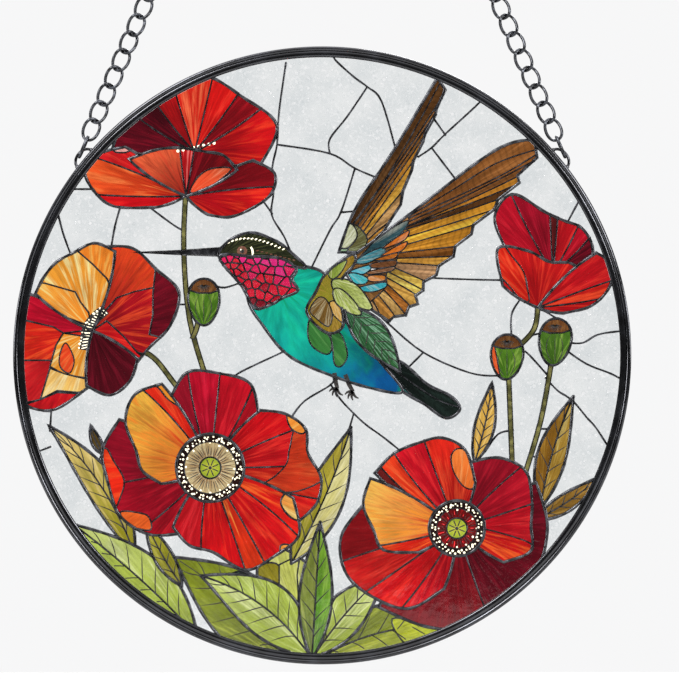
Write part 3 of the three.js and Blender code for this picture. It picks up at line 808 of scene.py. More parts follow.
    def low_poppy(self) -> None:
        """Adds the poppy at the lower right."""
        design = self.design
        h = self.low
        Petal("poppy_low_back", h, 30, -135, [44.5, 44, 44, 46, 49, 50, 54], [
            (30, Tone(0x42040E, 0x600818, 0x7C1224)), (-70, Tone(0x5A0612, 0x7E0C18, 0x981824))
            ]).draw(design)
        Petal("poppy_low_side", h, 78, -36, [33, 40, 43.5, 39, 36, 37.5, 28], [
            (78, Tone(0x6E0818, 0x9E0E24, 0xB81C2E)), (44, Tone(0x820A18, 0xB61026, 0xD02430)),
            (18, Tone(0x9C0A16, 0xD41426, 0xE83A38))]).draw(design)
        Petal("poppy_low_bottom", h, 166, 258, [47, 56.5, 58, 52, 45, 30], [
            (166, Tone(0x5A060E, 0x800E14, 0x9A1A20)), (196, Tone(0x9A1012, 0xCA1C1C, 0xE04030)),
            (215, Tone(0xA80E12, 0xDC141C, 0xF03A2C)), (235, Tone(0x960A16, 0xCE1022, 0xE0302C))
            ]).draw(design)
        Petal("poppy_low_up", h, 146, 68, [48, 47.5, 45.5, 44.5, 38, 24], [
            (146, Tone(0x3E0E0E, 0x5E1616, 0x7C2420)), (140, Tone(0xC01E12, 0xF2401E, 0xF87440, 0.5)),
            (130, Tone(0x980A16, 0xD61024, 0xEA3434)), (110.6, Tone(0xA81014, 0xEA2A1A, 0xF45A34, 0.5))
            ]).draw(design)
        design.patch("poppy_low_up", [(62.6, -49.2), (65.4, -45.4), (70.3, -46.4), (73.1, -52), (73.8, -63.8),
                     (68.9, -63.8), (64, -56.9)], Tone(0xF06A20, 0xF6843C, 0xF8A868, 0.5))
        Petal("poppy_low_front", h, 150, 212, [48.5, 47, 40.5, 37, 22], [
            (150, Tone(0xD82414, 0xFAC058, 0xF58A2C, 0.7, 48)), (192, Tone(0xC41410, 0xE83018, 0xF8702C, 0.5))
            ]).draw(design)
        lower = Tone(0xA00C14, 0xE21C1A, 0xF8702C, 0.55)
        design.patch("poppy_low_side", [h] + [polar(h, a, r) for a, r in
                     ((-10, 33), (-20, 40), (-34, 42), (-50, 40))], lower)
        self.centre("poppy_low_centre", h, 13.5, 10.4, 5.0, Tone(0x2A0A0A, 0x6E1214, 0xA81C1C, 0.8, 10, 14),
                 Tone(0x1A0A0A, 0x26100E, 0x38160F))

    def centre(self, name: str, heart: Point, outer: float, inner: float, pod: float, tone: Tone,
               dark: Tone) -> None:
        """Adds a flower's round centre: a dark ring of stamens, a rayed disc and the green pod.

        Args:
            name: the centre's name.
            heart: its middle.
            outer: the dark ring's radius.
            inner: the rayed disc's radius.
            pod: the pod's radius.
            tone: the disc's colours.
            dark: the dark ring's colours.
        """
        design = self.design
        rng = random.Random(self.seed + round(outer))
        design.cuttings.append(Cutting(name, ring(heart, outer, 56), dark, heart, family=Family.POPPIES))
        design.cuttings.append(Cutting(name + "_disc", ring(heart, inner - 0.6, 44), tone, heart, name, 0.6,
                                       family=Family.POPPIES))
        design.cuttings.append(Cutting(name + "_pod", ring(heart, pod, 28), Tone(0xD8D24A, 0x9CB42C, 0xC4CC50,
                                       0.5, 5), heart, name + "_disc", 0.9, family=Family.POPPIES))
        rays = int(inner * 3.2)
        for k in range(rays):
            angle = 360 * k / rays + rng.uniform(-2, 2)
            start, stop = pod + rng.uniform(0.8, 1.8), inner - rng.uniform(0.8, 3.4)
            paint = Paint.BLACK if tone.far > 0x900000 or k % 3 else Paint.RED
            design.traces.append(Trace([polar(heart, angle, start), polar(heart, angle, stop)],
                                       rng.uniform(0.25, 0.5), paint, name, 0.4))
        for row, (radius, share) in enumerate(((inner + 0.5, 1.0), (outer - 1.5, 0.9), (inner - 1.2, 0.45))):
            count = int(radius * 3.1 * share)
            for k in range(count):
                angle = 360 * (k + 0.5 * row) / count + rng.uniform(-3, 3)
                design.dots.append(Dot(polar(heart, angle, radius + rng.uniform(-0.5, 0.5)),
                                       rng.uniform(0.32, 0.62), owner=name))
        for k in range(8):
            angle = 22.5 + 45 * k
            design.traces.append(Trace([polar(heart, angle, 1.2), polar(heart, angle, pod - 0.9)], 0.55,
                                       Paint.BLACK, name, 1.0, 1))
        design.dots.append(Dot(heart, 0.9, Paint.BLACK, name))

    def draw(self) -> None:
        """Adds all the poppies to the design."""
        self.top_poppy()
        self.left_poppy()
        self.right_poppy()
        self.large_poppy()
        self.low_poppy()


@dataclass
class Bird:
    """The hummingbird in flight."""

    design: Design
    eye: Point = (-38.9, 50.6)
    tile_small: float = 2.5
    tile_large: float = 5.2
    tile_colours: Sequence[Tuple[float, int]] = (
        (0.42, 0xE4287E), (0.15, 0xE01858), (-0.25, 0xD6162E), (-0.5, 0xA40E20), (-math.inf, 0x7C0A18))
    seed: int = 11

    def wings_and_tail(self) -> None:
        """Adds the far wing, the tail, the breast, the back and the near wing."""
        design = self.design
        def plume(*colours: int) -> List[Tone]:
            """One feather tone for each colour, darker at the root."""
            return [Tone(scaled(c, 0.74), c, scaled(c, 1.12, 18), 0.5, 95, 26) for c in colours]
        Wing("bird_far_wing", [(8, 50), (16.3, 71.5), (35.5, 100.8), (56, 135)],
             [(61, 133), (57, 121), (50, 106), (43.5, 90), (37, 70.7), (27, 57), (20, 50)], 7, 0.05,
             [(13.5, 64), (17, 63), (20, 60), (22, 56), (20, 50)], [0, 1, 2, 4, 6, 8, 10, 12, 14],
             plume(0x5A3818, 0x7A4C20, 0x8E5C26, 0xC8862C, 0xE2A43C, 0xBE9058, 0xCA8C34, 0x8A5A2A),
             Tone(0x5A5430, 0x7A7A4A, 0xA8B48C, 0.5, 30, 20)).draw(design)
        for points, tone in (
                ([(3, 48), (6, 56), (11, 60), (13, 54), (10, 47)], Tone(0x8CAA88, 0xB0C8AA, 0xD0DCC8, 0.5)),
                ([(8, 62), (14, 64), (17, 58), (12, 52), (7, 54)], Tone(0xB0B48C, 0xCCD0A8, 0xE0E2CC, 0.5))):
            design.patch("bird_far_wing", points, tone)
        tail = [(28, -4), (38, -3), (51, -14), (62, -19.5), (67, -26), (60, -30.5), (50, -24), (37, -16)]
        design.cuttings.append(Cutting("bird_tail", spline(tail, 6, True),
                                       Tone(0x0C1412, 0x16201C, 0x24342E, 0.45),
                                       (28, -4), family=Family.BIRD))
        design.patch("bird_tail", [(31, -6), (40, -16), (50, -25), (60, -32), (45, -28), (32, -16)],
                     Tone(0x2E5A5C, 0x4A7C7C, 0x6C9C98, 0.5))
        design.cuts.append(Cut(spline([(36, -8), (46, -15), (57, -22), (66, -25)], 5), 0.7, "bird_tail"))
        breast = [(-36, 30), (-27, 12), (-15, -1), (5, -10), (24, -16), (39, -17.5), (28, -3), (16, 11),
                  (5, 25), (2, 38), (-5, 42.5), (-16, 42)]
        design.cuttings.append(Cutting("bird_breast", spline(breast, 7, True),
                                       Tone(0x16C49C, 0x0A5490, 0x0C9A50,
                                       0.6, 66, 2.4), (-22, 34), family=Family.BIRD))
        design.patch("bird_breast", [(-5.5, 18.1), (1.3, 12), (4.3, 7.4), (4.3, 2.1), (1.3, 0.6), (-4.8, 4.4),
                     (-7, 10.5)], Tone(0x2E6A30, 0x44863E, 0x6CA45C, 0.5))
        design.patch("bird_breast", [(4.3, 10.5), (8.9, 10.5), (11.9, 2.9), (11.9, -1.7), (8.9, -5.5),
                     (5.9, -3.9), (5.1, 3.6)], Tone(0x265A2C, 0x387438, 0x5C9450, 0.5))
        Leaf("bird_back", (11, 24), (38, -8), 15, 1, (Tone(0x265230, 0x38703E, 0x8CBC9A, 0.7, 45, 30),) * 2,
             6, family=Family.BIRD, rib=0).draw(design)
        Wing("bird_near_wing", [(8.8, 44), (39.7, 66.5), (83.2, 99.1), (103, 105)],
             [(107, 100), (95, 83), (76, 63), (62, 46), (50, 33), (45, 23), (33, 16.5), (22, 24)], 11, 0.06,
             [(42.2, 66.8), (41.5, 63), (39.7, 61.4), (37.6, 54), (36.3, 48.2), (35.5, 44), (31, 40),
              (31.3, 34),
              (27, 29), (22, 25)], [0, 1, 2, 3, 4, 5, 6, 8, 9, 10, 12, 13, 14, 16, 17, 18, 20, 22],
             plume(0x8A5426, 0x7A4A20, 0xC8842A, 0x5A3616, 0xD8942C, 0xF0B038, 0xD08A28, 0x7E4A18, 0xE0A040,
                   0xC8986A, 0xE8B850, 0xF0C860, 0xD8A048, 0xA86424, 0xD8A860, 0xC88A3C, 0xB8905C),
             Tone(0x6A4A24, 0x8A5A30, 0xB88850, 0.5, 40, 20)).draw(design)
        design.cuts += [Cut(spline([(41.6, 67.3), (62, 79.5), (84, 93), (104, 100)], 6), 0.75,
                            "bird_near_wing"),
                        Cut(spline([(42, 66.6), (64, 76.5), (88, 88), (103, 97)], 6), 0.75, "bird_near_wing"),
                        Cut(spline([(15, 64), (31, 86), (44, 108), (57, 132)], 6), 0.75, "bird_far_wing")]

    def scapulars(self) -> None:
        """Adds the pale feathers between the shoulder and the near wing."""
        design = self.design
        for name, points, colour in (
                ("bird_scapular_upper", [(5, 36.6), (12.7, 36.6), (19.5, 31.4), (24.4, 22.6), (18, 23.2),
                                         (12.7, 28), (6, 31)], 0xD0DC88),
                ("bird_scapular_lower", [(5.4, 31.9), (9.7, 31.9), (15.9, 25.9), (19, 20), (13.4, 20.4),
                                         (6.5, 25.6)], 0xC8D878)):
            design.cuttings.append(Cutting(name, spline(points, 6, True),
                                           Tone(0x98A848, colour, 0xECECC0, 0.5, 26),
                                           (4, 37), line=0.8, family=Family.BIRD))

    def coverts(self) -> None:
        """Adds the small feathers where the near wing meets the body."""
        design = self.design
        for points, colour in (
                ([(15.7, 44.6), (21, 50.7), (28.6, 58.3), (40, 65.1), (41.5, 63.6), (36.2, 56.8), (29.4, 52.2),
                  (21, 47.7)], 0x2E5058),
                ([(15.7, 45.4), (24.1, 50.7), (30.1, 52.2), (29.4, 48.4), (21, 44.6)], 0x3E90A0),
                ([(15, 41.6), (23.3, 43.9), (23.3, 41.6), (19.5, 39.3), (14.2, 40.1)], 0x5CBACC),
                ([(9.7, 37.8), (15, 40.1), (21.8, 37.8), (21.8, 35.5), (18.8, 34.4), (13.4, 35.5)], 0x3CB4BC),
                ([(18, 32.9), (25.6, 34.8), (30.9, 35.5), (30.9, 33.2), (25.6, 31), (20.3, 31)], 0x3AACBA),
                ([(29.4, 52.2), (41.5, 60.6), (40.8, 56.8), (35.5, 53.7)], 0xCC6C22),
                ([(28.6, 48.4), (40.8, 55.3), (38.5, 50.7)], 0xDC7624),
                ([(24.8, 46.2), (36.2, 49.9), (34.7, 46.9)], 0xC87024),
                ([(24.1, 44.6), (35.5, 46.2), (34.7, 43.1), (24.8, 42.4)], 0x80502E),
                ([(22.6, 40.8), (34.7, 43.1), (33.2, 40.8), (23.3, 39.3)], 0x90603E),
                ([(22.6, 38.6), (30.1, 38.9), (30.1, 36.3), (23.3, 35.9)], 0xDC8634),
                ([(8.9, 36.3), (12.7, 36.3), (19.5, 31), (23.3, 23.4), (18, 24.1), (12.7, 28.7), (8.9, 32.5)],
                 0xCCDC80)):
            design.patch("bird_near_wing", points, Tone(colour, colour, 0xE8E0C8, 0.25), 0.65)

    def shoulder_and_head(self) -> None:
        """Adds the shoulder, the bill, the crown and the throat."""
        design = self.design
        shoulder = [(-3, 31), (2, 40), (14, 49), (16, 45), (9, 36), (9, 26), (10, 14), (2, 11), (-7.5, 21)]
        design.cuttings.append(Cutting("bird_shoulder", spline(shoulder, 6, True),
                                       Tone(0x8A8A24, 0x946420, 0xC09A48,
                                       0.6, 30, 24), (4, 30), family=Family.BIRD))
        self.scapulars()
        for points, colour in (
                ([(3.6, 25.7), (7.4, 25.7), (12.7, 19.6), (14.2, 14.3), (9.7, 15.8), (5.1, 20.3)], 0xD8A850),
                ([(-2, 28), (2, 27), (5, 20), (3, 14), (-3, 18), (-6, 22)], 0x7A5A28),
                ([(3, 40), (8, 44.5), (12, 46), (9, 40), (5, 37)], 0x8CA040)):
            design.patch("bird_shoulder", points, Tone(colour, colour, 0xF0E8C0, 0.35), 0.65)
        design.cuttings.append(Cutting("bill", [(-92, 50), (-70, 48.9), (-46, 47.9), (-46, 52.6), (-70, 50.9)],
                                       Tone(0x0C0C0C, 0x141210, 0x201C18, 0.45), (-92, 50), line=0.4,
                                       kind=Kind.BAR,
                                       family=Family.BIRD))
        crown = [(-50, 50.5), (-44, 56.5), (-34, 59.6), (-22, 55.3), (-14, 49), (-8, 42.5), (-20, 44.5),
                 (-34, 46), (-48, 47)]
        design.cuttings.append(Cutting("bird_crown", spline(crown, 6, True), Tone(0x1C1E14, 0x2A2E1C, 0x5C6038,
                                       0.6, 30, 20), (-48, 49), family=Family.BIRD))
        throat = [(-50, 48), (-34, 48), (-20, 47), (-12.5, 42), (-14.6, 37), (-11.8, 31.5), (-19, 28),
                  (-25, 24.5), (-33, 23), (-39, 33.5)]
        design.cuttings.append(Cutting("bird_throat", spline(throat, 6, True), RED, (-48, 48),
                                       family=Family.BIRD))
        self.tiles()

    def tiles(self) -> None:
        """Cuts the throat into scales that grow away from the bill."""
        design = self.design
        rng = random.Random(self.seed)
        seeds: Run = []
        origin = (-54, 49)
        reach = 4.0
        while reach < 48:
            size = self.tile_small + (self.tile_large - self.tile_small) * reach / 46
            count = max(3, int(math.tau * reach / size / 1.02))
            for k in range(count):
                angle = 360 * (k + 0.5 * (len(seeds) % 2)) / count
                if -90 < (angle + 180) % 360 - 180 < 25:
                    seeds.append(polar(origin, angle + rng.uniform(-14, 14) / max(reach, 8),
                                       reach + rng.uniform(-0.35, 0.35)))
            reach += size * 0.98
        for seed in seeds:
            near = sorted(seeds, key=lambda q: (q[0] - seed[0]) ** 2 + (q[1] - seed[1]) ** 2)[1:15]
            cell = voronoi_cell(seed, near, 8)
            if len(cell) < 3:
                continue
            blend = (seed[0] + 30) * 0.02 + (seed[1] - 36) * 0.045 + rng.uniform(-0.25, 0.25)
            colour = next(c for least, c in self.tile_colours if blend > least)
            design.cuttings.append(Cutting(f"tile_{len(design.cuttings)}", cell,
                                           Tone(colour, colour, 0xF06090, 0.15),
                                           seed, "bird_throat", 0.85, Kind.GLASS, Family.BIRD))

    def marks(self) -> None:
        """Paints the eye, the crown's dashes and the feet."""
        design = self.design
        ex, ez = self.eye
        for i in range(15):
            x = -46 + 1.9 * i
            z = 53.4 + 4.2 * math.sin(math.pi * min(1, (i + 1) / 15) ** 0.8) - 0.12 * i
            design.traces.append(Trace([(x, z - 0.5), (x + 1.1, z + 0.1)], 0.6, Paint.CREAM, "bird_crown", 1.0,
                                       1))
        for i in range(9):
            design.traces.append(Trace([(-32 + 2.2 * i, 50.8 - 0.55 * i), (-30.8 + 2.2 * i, 50.9 - 0.6 * i)],
                                       0.5,
                                       Paint.BROWN, "bird_crown", 1.0, 1))
        design.dots += [Dot((ex, ez), 2.5, Paint.BROWN, layer=2),
                        Dot((ex, ez), 1.35, Paint.BLACK, layer=3),
                        Dot((ex - 0.6, ez + 0.7), 0.4, Paint.CREAM, layer=4)]
        design.traces.append(Trace(bowed((ex + 4.3, ez + 2), (ex + 4.6, ez - 2.6), -0.3), 1.0, Paint.CREAM,
                                   "bird_crown", 0.3, 1))
        for foot in ([(5.9, -8.5), (6.6, -13), (7.4, -16.1)], [(11.2, -9.3), (13, -14), (15, -17.6)]):
            design.traces.append(Trace(spline(foot, 5), 2.2, taper=0.8, layer=1))
            end = foot[-1]
            for turn in (200, 235, 270, 310):
                claw = bowed(end, polar(end, turn, 4.2), 0.35, 6)
                design.traces.append(Trace(claw, 1.3, taper=0.5, layer=1))

    def draw(self) -> None:
        """Adds the whole bird to the design."""
        self.wings_and_tail()
        self.coverts()
        self.shoulder_and_head()
        self.marks()


@dataclass
class ClearField:
    """The clear glass round the figures and the thin lines that part it."""

    design: Design
    line: float = 1.0

    def draw(self) -> None:
        """Adds the thin lines to the design."""
        design = self.design
        for run in (
                [(-17.6, 142), (-20.9, 118.6), (-21.9, 102.6), (-24.2, 91.3), (-23.6, 79.3), (-24.5, 68.2),
                 (-18.4, 57.5), (-14.2, 47.3)],
                [(-32.6, 77.5), (-29.6, 76), (-24.3, 68.7)],
                [(-21.6, 102.3), (3.7, 98), (15.9, 90.8), (30.3, 84.7)],
                [(15.9, 90.8), (9.2, 69.8), (3.7, 60.6), (-6.1, 40.7)], [(9.2, 69.4), (17.8, 70.2)],
                [(3.7, 98), (3.7, 105), (12.1, 115.9), (21.7, 130.1)],
                [(5.3, 147), (6.3, 143.5), (15.5, 135.1), (21.7, 130.5), (28.8, 123.4), (36, 98.8)],
                [(81, 130), (77.4, 123.8), (59.8, 107.5), (53.1, 100.8), (46.7, 96.4)],
                [(50.4, 119.6), (54.4, 114.6), (59.8, 107)], [(53.1, 100.8), (67.2, 82.3)],
                [(52, 37.6), (73.2, 36.8), (93.2, 36.4)], [(-54, 34.9), (-47.3, 32.9), (-36.2, 36.7)],
                [(-15.6, 3.4), (-19.6, 1.4), (-38.9, -7.7), (-44.7, -11.8)],
                [(5.3, -10.2), (4.3, -14.2), (-8.6, -22.2), (-15.6, -31)],
                [(4.1, -14.1), (8.9, -21.4), (15.3, -28.2), (21.4, -33.8), (29.2, -39.4), (38.8, -47)],
                [(15.3, -28.2), (12.5, -38)], [(28.7, 18.8), (31.7, 15.8), (49.1, 1.4), (71.7, -8.5),
                                               (86, -10)],
                [(49.1, 1.4), (39.5, -8.2)], [(79.1, -46.8), (85.4, -38.3), (92.7, -36.3)],
                [(125.1, 76), (124.1, 74), (118.8, 64)], [(97.9, 28.9), (95.9, 26.9), (91.9, 19.5), (92, 8.6)],
                [(105.3, 22.3), (108.3, 21.3), (115.9, 16.6)], [(101.3, 9.6), (108.4, 11.4)],
                [(96.5, 1.9), (99.6, 1.1), (110.7, -11.1)],
                [(108.5, -11), (114.3, -17.1), (119, -20.1), (123.1, -23.6), (128.4, -30.1), (133.1, -35.4),
                 (140.4, -46.8)],
                [(119.6, 6.1), (126.6, 6.1), (134.3, 10.2), (147, 12)],
                [(117.3, 3.3), (128.4, -4.2), (140.2, -8.9),
                                                                       (147.2, -12.8)],
                [(104.8, -35.7), (112.6, -35.7)], [(100.1, -49.2), (107.9, -49.2)],
                [(-127.9, 82), (-129.9, 77.9), (-126.3, 60.9), (-121.6, 47.7)],
                [(-97.2, 74.7), (-100.5, 63.3), (-102.8, 50.6)], [(-84, 72), (-72.2, 63.3), (-66.4, 60)],
                [(-123, 80.7), (-111.5, 80.7)], [(-75.1, 24.7), (-62.9, 24.7)],
                [(-131.5, -26.3), (-132.2, -36.7)],
                [(-139.9, -47.5), (-132, -44.4)], [(-109.8, -55), (-112, -66), (-104, -76)]):
            design.cuts.append(Cut(spline(run, 5), self.line))


# ---------------------------------------------------------------- cutting the sheet
Edge = Tuple[int, int]
SeamEdge = Tuple[Edge, float, Family]


@dataclass
class Sheet:
    """One glass piece: its cutting, its loops with the outer first, and its part of the field."""

    label: int
    loops: List[Run]
    area: float
    number: int
    field_part: int


@dataclass
class Seam:
    """A bead's run between two places where lines meet."""

    run: Run
    width: float
    family: Family
    closed: bool


class Groups:
    """Triangles joined into groups."""

    def __init__(self, count: int) -> None:
        """Starts with each triangle alone."""
        self.up = list(range(count))

    def first(self, t: int) -> int:
        """The triangle that stands for a group.

        Args:
            t: any triangle of the group.

        Returns:
            Its number.
        """
        while self.up[t] != t:
            self.up[t] = self.up[self.up[t]]
            t = self.up[t]
        return t

    def join(self, a: int, b: int) -> None:
        """Makes the groups of two triangles one."""
        self.up[self.first(a)] = self.first(b)


@dataclass
class CuttingPlan:
    """Works out which glass shows where, and the lines between."""

    design: Design
    radius: float = 144.9
    rim_sides: int = 240
    closeness: float = 1e-3
    inset: float = 0.3
    least_area: float = 0.6
    least_side: float = 0.12
    least_step: float = 0.35
    miter: float = 1.8
    sheets: List[Sheet] = field(default_factory=list)
    seams: List[Seam] = field(default_factory=list)
    joints: List[Tuple[Point, float, Family]] = field(default_factory=list)

    def __post_init__(self) -> None:
        """Numbers the cuttings."""
        self.numbers = {c.name: i for i, c in enumerate(self.design.cuttings)}

    @staticmethod
    def inside(points: np.ndarray, outline: Sequence[Point]) -> np.ndarray:
        """Which points lie in an outline, by crossing count.

        Args:
            points: an array of points.
            outline: the closed outline.

        Returns:
            One truth value for each point.
        """
        poly = np.asarray(outline)
        near = ((points >= poly.min(axis=0)) & (points <= poly.max(axis=0))).all(axis=1)
        x, z = points[near].T
        odd = np.zeros(len(x), bool)
        for (x1, z1), (x2, z2) in zip(poly, np.roll(poly, -1, axis=0)):
            if z1 != z2:
                odd ^= ((z1 > z) != (z2 > z)) & (x < (x2 - x1) * (z - z1) / (z2 - z1) + x1)
        near[near] = odd
        return near

    def labels(self, points: np.ndarray) -> Tuple[np.ndarray, np.ndarray]:
        """The cutting that shows at each point.

        Args:
            points: an array of points.

        Returns:
            The whole figures' numbers and the smallest sheets' numbers, -1 for the clear field.
        """
        cuttings = self.design.cuttings
        root = np.full(len(points), -1)
        for i, c in enumerate(cuttings):
            if c.parent is None:
                root[self.inside(points, c.outline)] = i
        shown = root.copy()
        for i, c in enumerate(cuttings):
            if c.parent is not None:
                parent = self.numbers[c.parent]
                under = root if cuttings[parent].parent is None else shown
                shown[(under == parent) & self.inside(points, c.outline)] = i
        return root, shown

    def solve(self) -> None:
        """Fills sheets, seams and joints from the design."""
        verts: List[Vector] = []
        edges: List[Edge] = []
        cut_of: Dict[int, Cut] = {}
        rim = ring((0, 0), self.radius, self.rim_sides)
        runs = [(run, None) for run in [rim] + [c.outline for c in self.design.cuttings]]
        for run, cut in runs + [(cut.run, cut) for cut in self.design.cuts]:
            start = len(verts)
            verts.extend(Vector(p) for p in run)
            for k in range(len(run) - 1 if cut else len(run)):
                if cut:
                    cut_of[len(edges)] = cut
                edges.append((start + k, start + (k + 1) % len(run)))
        points, out_edges, faces, _, source, _ = delaunay_2d_cdt(verts, edges, [], 0, self.closeness, True)
        self.place = np.array([tuple(p) for p in points])
        self.tris = np.array([tuple(f) for f in faces])
        middle = self.place[self.tris].mean(axis=1)
        self.held = [int(t) for t in np.nonzero(self.inside(middle, rim))[0]]
        self.root, self.shown = self.labels(middle)
        cuts = {(min(a, b), max(a, b)): cut_of[k] for (a, b), ids in zip(out_edges, source)
                for k in ids if k in cut_of}
        beside: Dict[Edge, List[int]] = {}
        for t in self.held:
            tri = [int(v) for v in self.tris[t]]
            for a, b in zip(tri, tri[1:] + tri[:1]):
                beside.setdefault((min(a, b), max(a, b)), []).append(t)
        self.chain(self.grow(beside, cuts))

    def grow(self, beside: Dict[Edge, List[int]], cuts: Dict[Edge, Cut]) -> List[SeamEdge]:
        """Joins triangles into sheets.

        Args:
            beside: the triangles on each edge.
            cuts: the edges that lie on cuts.

        Returns:
            The edges between sheets, each with its line's width and family.
        """
        cuttings = self.design.cuttings
        pieces, fields = Groups(len(self.tris)), Groups(len(self.tris))
        seam_edges: List[SeamEdge] = []
        for edge, pair in beside.items():
            if len(pair) < 2:
                continue
            a, b = pair
            figure = self.root[a]
            if self.shown[a] != self.shown[b]:
                level = self.root if figure != self.root[b] else self.shown
                later = cuttings[max(level[a], level[b])]
                seam_edges.append((edge, later.line, later.family))
                continue
            fields.join(a, b)
            cut = cuts.get(edge)
            if cut and figure == self.root[b] == self.numbers.get(cut.owner, -1):
                family = Family.FIELD if figure < 0 else cuttings[figure].family
                seam_edges.append((edge, cut.width, family))
            else:
                pieces.join(a, b)
        groups: Dict[int, List[int]] = {}
        for t in self.held:
            groups.setdefault(pieces.first(t), []).append(t)
        for number, (first, members) in enumerate(sorted(groups.items())):
            loops = self.loops(self.tris[members])
            area = sum(self.area(loop) for loop in loops)
            if area > self.least_area:
                self.sheets.append(Sheet(int(self.shown[first]), loops, area, number, fields.first(first)))
        return seam_edges

    @staticmethod
    def area(loop: Sequence[Point]) -> float:
        """A loop's area, below nought for a hole."""
        return sum(p[0] * q[1] - q[0] * p[1] for p, q in zip(loop, loop[1:] + loop[:1])) / 2

    def loops(self, tris: np.ndarray) -> List[Run]:
        """The boundary loops of some triangles, the outer one first.

        Args:
            tris: the triangles.

        Returns:
            Loops with the glass on their left, moved in by the inset.
        """
        place = self.place
        directed = set()
        for tri in tris:
            p, q, r = (place[k] for k in tri)
            turned = (q[0] - p[0]) * (r[1] - p[1]) - (q[1] - p[1]) * (r[0] - p[0]) < 0
            tri = [int(k) for k in (tri[::-1] if turned else tri)]
            directed.update(zip(tri, tri[1:] + tri[:1]))
        outer = {e for e in directed if e[::-1] not in directed}
        after: Dict[int, List[int]] = {}
        for a, b in outer:
            after.setdefault(a, []).append(b)
        made = []
        while outer:
            edge = min(outer)
            walk = [edge[0]]
            while edge in outer:
                outer.discard(edge)
                walk.append(edge[1])
                choices = [b for b in after.get(edge[1], []) if (edge[1], b) in outer]
                if not choices:
                    break
                back = heading(place[edge[1]], place[edge[0]])

                def turn(b: int) -> float:
                    """How far clockwise from the way back an edge leaves."""
                    return (back - heading(place[edge[1]], place[b])) % math.tau
                edge = (edge[1], min(choices, key=turn))
            run = self.inward([tuple(place[k]) for k in walk[:-1]])
            if len(run) > 2:
                made.append(run)
        made.sort(key=lambda loop: -self.area(loop))
        return [made[0]] + [m for m in made[1:] if self.area(m) < 0] if made and self.area(made[0]) > 0 else []

    def inward(self, loop: Run) -> Run:
        """A loop moved to its left by the inset, without points that crowd.

        Args:
            loop: the loop.

        Returns:
            The moved loop.
        """
        clean = [p for i, p in enumerate(loop) if math.dist(p, loop[i - 1]) > self.least_side]
        moved: Run = []
        for p, a, b in zip(clean, clean[-1:] + clean, clean[1:] + clean[:1]):
            d1, d2 = math.dist(a, p) or 1, math.dist(p, b) or 1
            total = (-(p[1] - a[1]) / d1 - (b[1] - p[1]) / d2, (p[0] - a[0]) / d1 + (b[0] - p[0]) / d2)
            length = max(math.hypot(*total), 1e-6)
            move = self.inset * min(2 / length, self.miter) / length
            moved.append((p[0] + total[0] * move, p[1] + total[1] * move))
        return moved

    def chain(self, seam_edges: List[SeamEdge]) -> None:
        """Joins the edges into runs between the places where lines meet.

        Args:
            seam_edges: each edge with its line's width and family.
        """
        at: Dict[int, List[int]] = {}
        for k, (ends, _, _) in enumerate(seam_edges):
            for v in ends:
                at.setdefault(v, []).append(k)

        def plain(v: int) -> bool:
            """Whether one line just passes through a point."""
            return len(at[v]) == 2 and seam_edges[at[v][0]][1:] == seam_edges[at[v][1]][1:]
        used = set()

        def keep(v: int, k: int) -> None:
            """Adds the seam that leaves a point, without the points that crowd on it.

            Args:
                v: the point.
                k: the seam's first edge.
            """
            walk = [v]
            _, width, family = seam_edges[k]
            while k not in used:
                used.add(k)
                a, b = seam_edges[k][0]
                v = b if v == a else a
                walk.append(v)
                if not plain(v):
                    break
                k = next((e for e in at[v] if e not in used), k)
            run = [tuple(self.place[i]) for i in walk]
            kept = run[:1]
            for p in run[1:-1]:
                if min(math.dist(p, kept[-1]), math.dist(p, run[-1])) > self.least_step:
                    kept.append(p)
            kept.append(run[-1])
            self.seams.append(Seam(kept, width, family, walk[0] == walk[-1] and len(kept) > 3))
        for v in at:
            if not plain(v):
                self.joints.append((tuple(self.place[v]), *max((seam_edges[k][1:] for k in at[v]),
                                                               key=lambda look: look[0])))
                for k in at[v]:
                    if k not in used:
                        keep(v, k)
        for k, (ends, _, _) in enumerate(seam_edges):
            if k not in used:
                keep(ends[0], k)


# ---------------------------------------------------------------- meshes
def around(centre: Point, radius: float, y: float, sides: int) -> List[Place]:
    """The points of a level circle at a depth."""
    return [(centre[0] + radius * math.cos(a), y, centre[1] + radius * math.sin(a)) for a in turns(sides)]


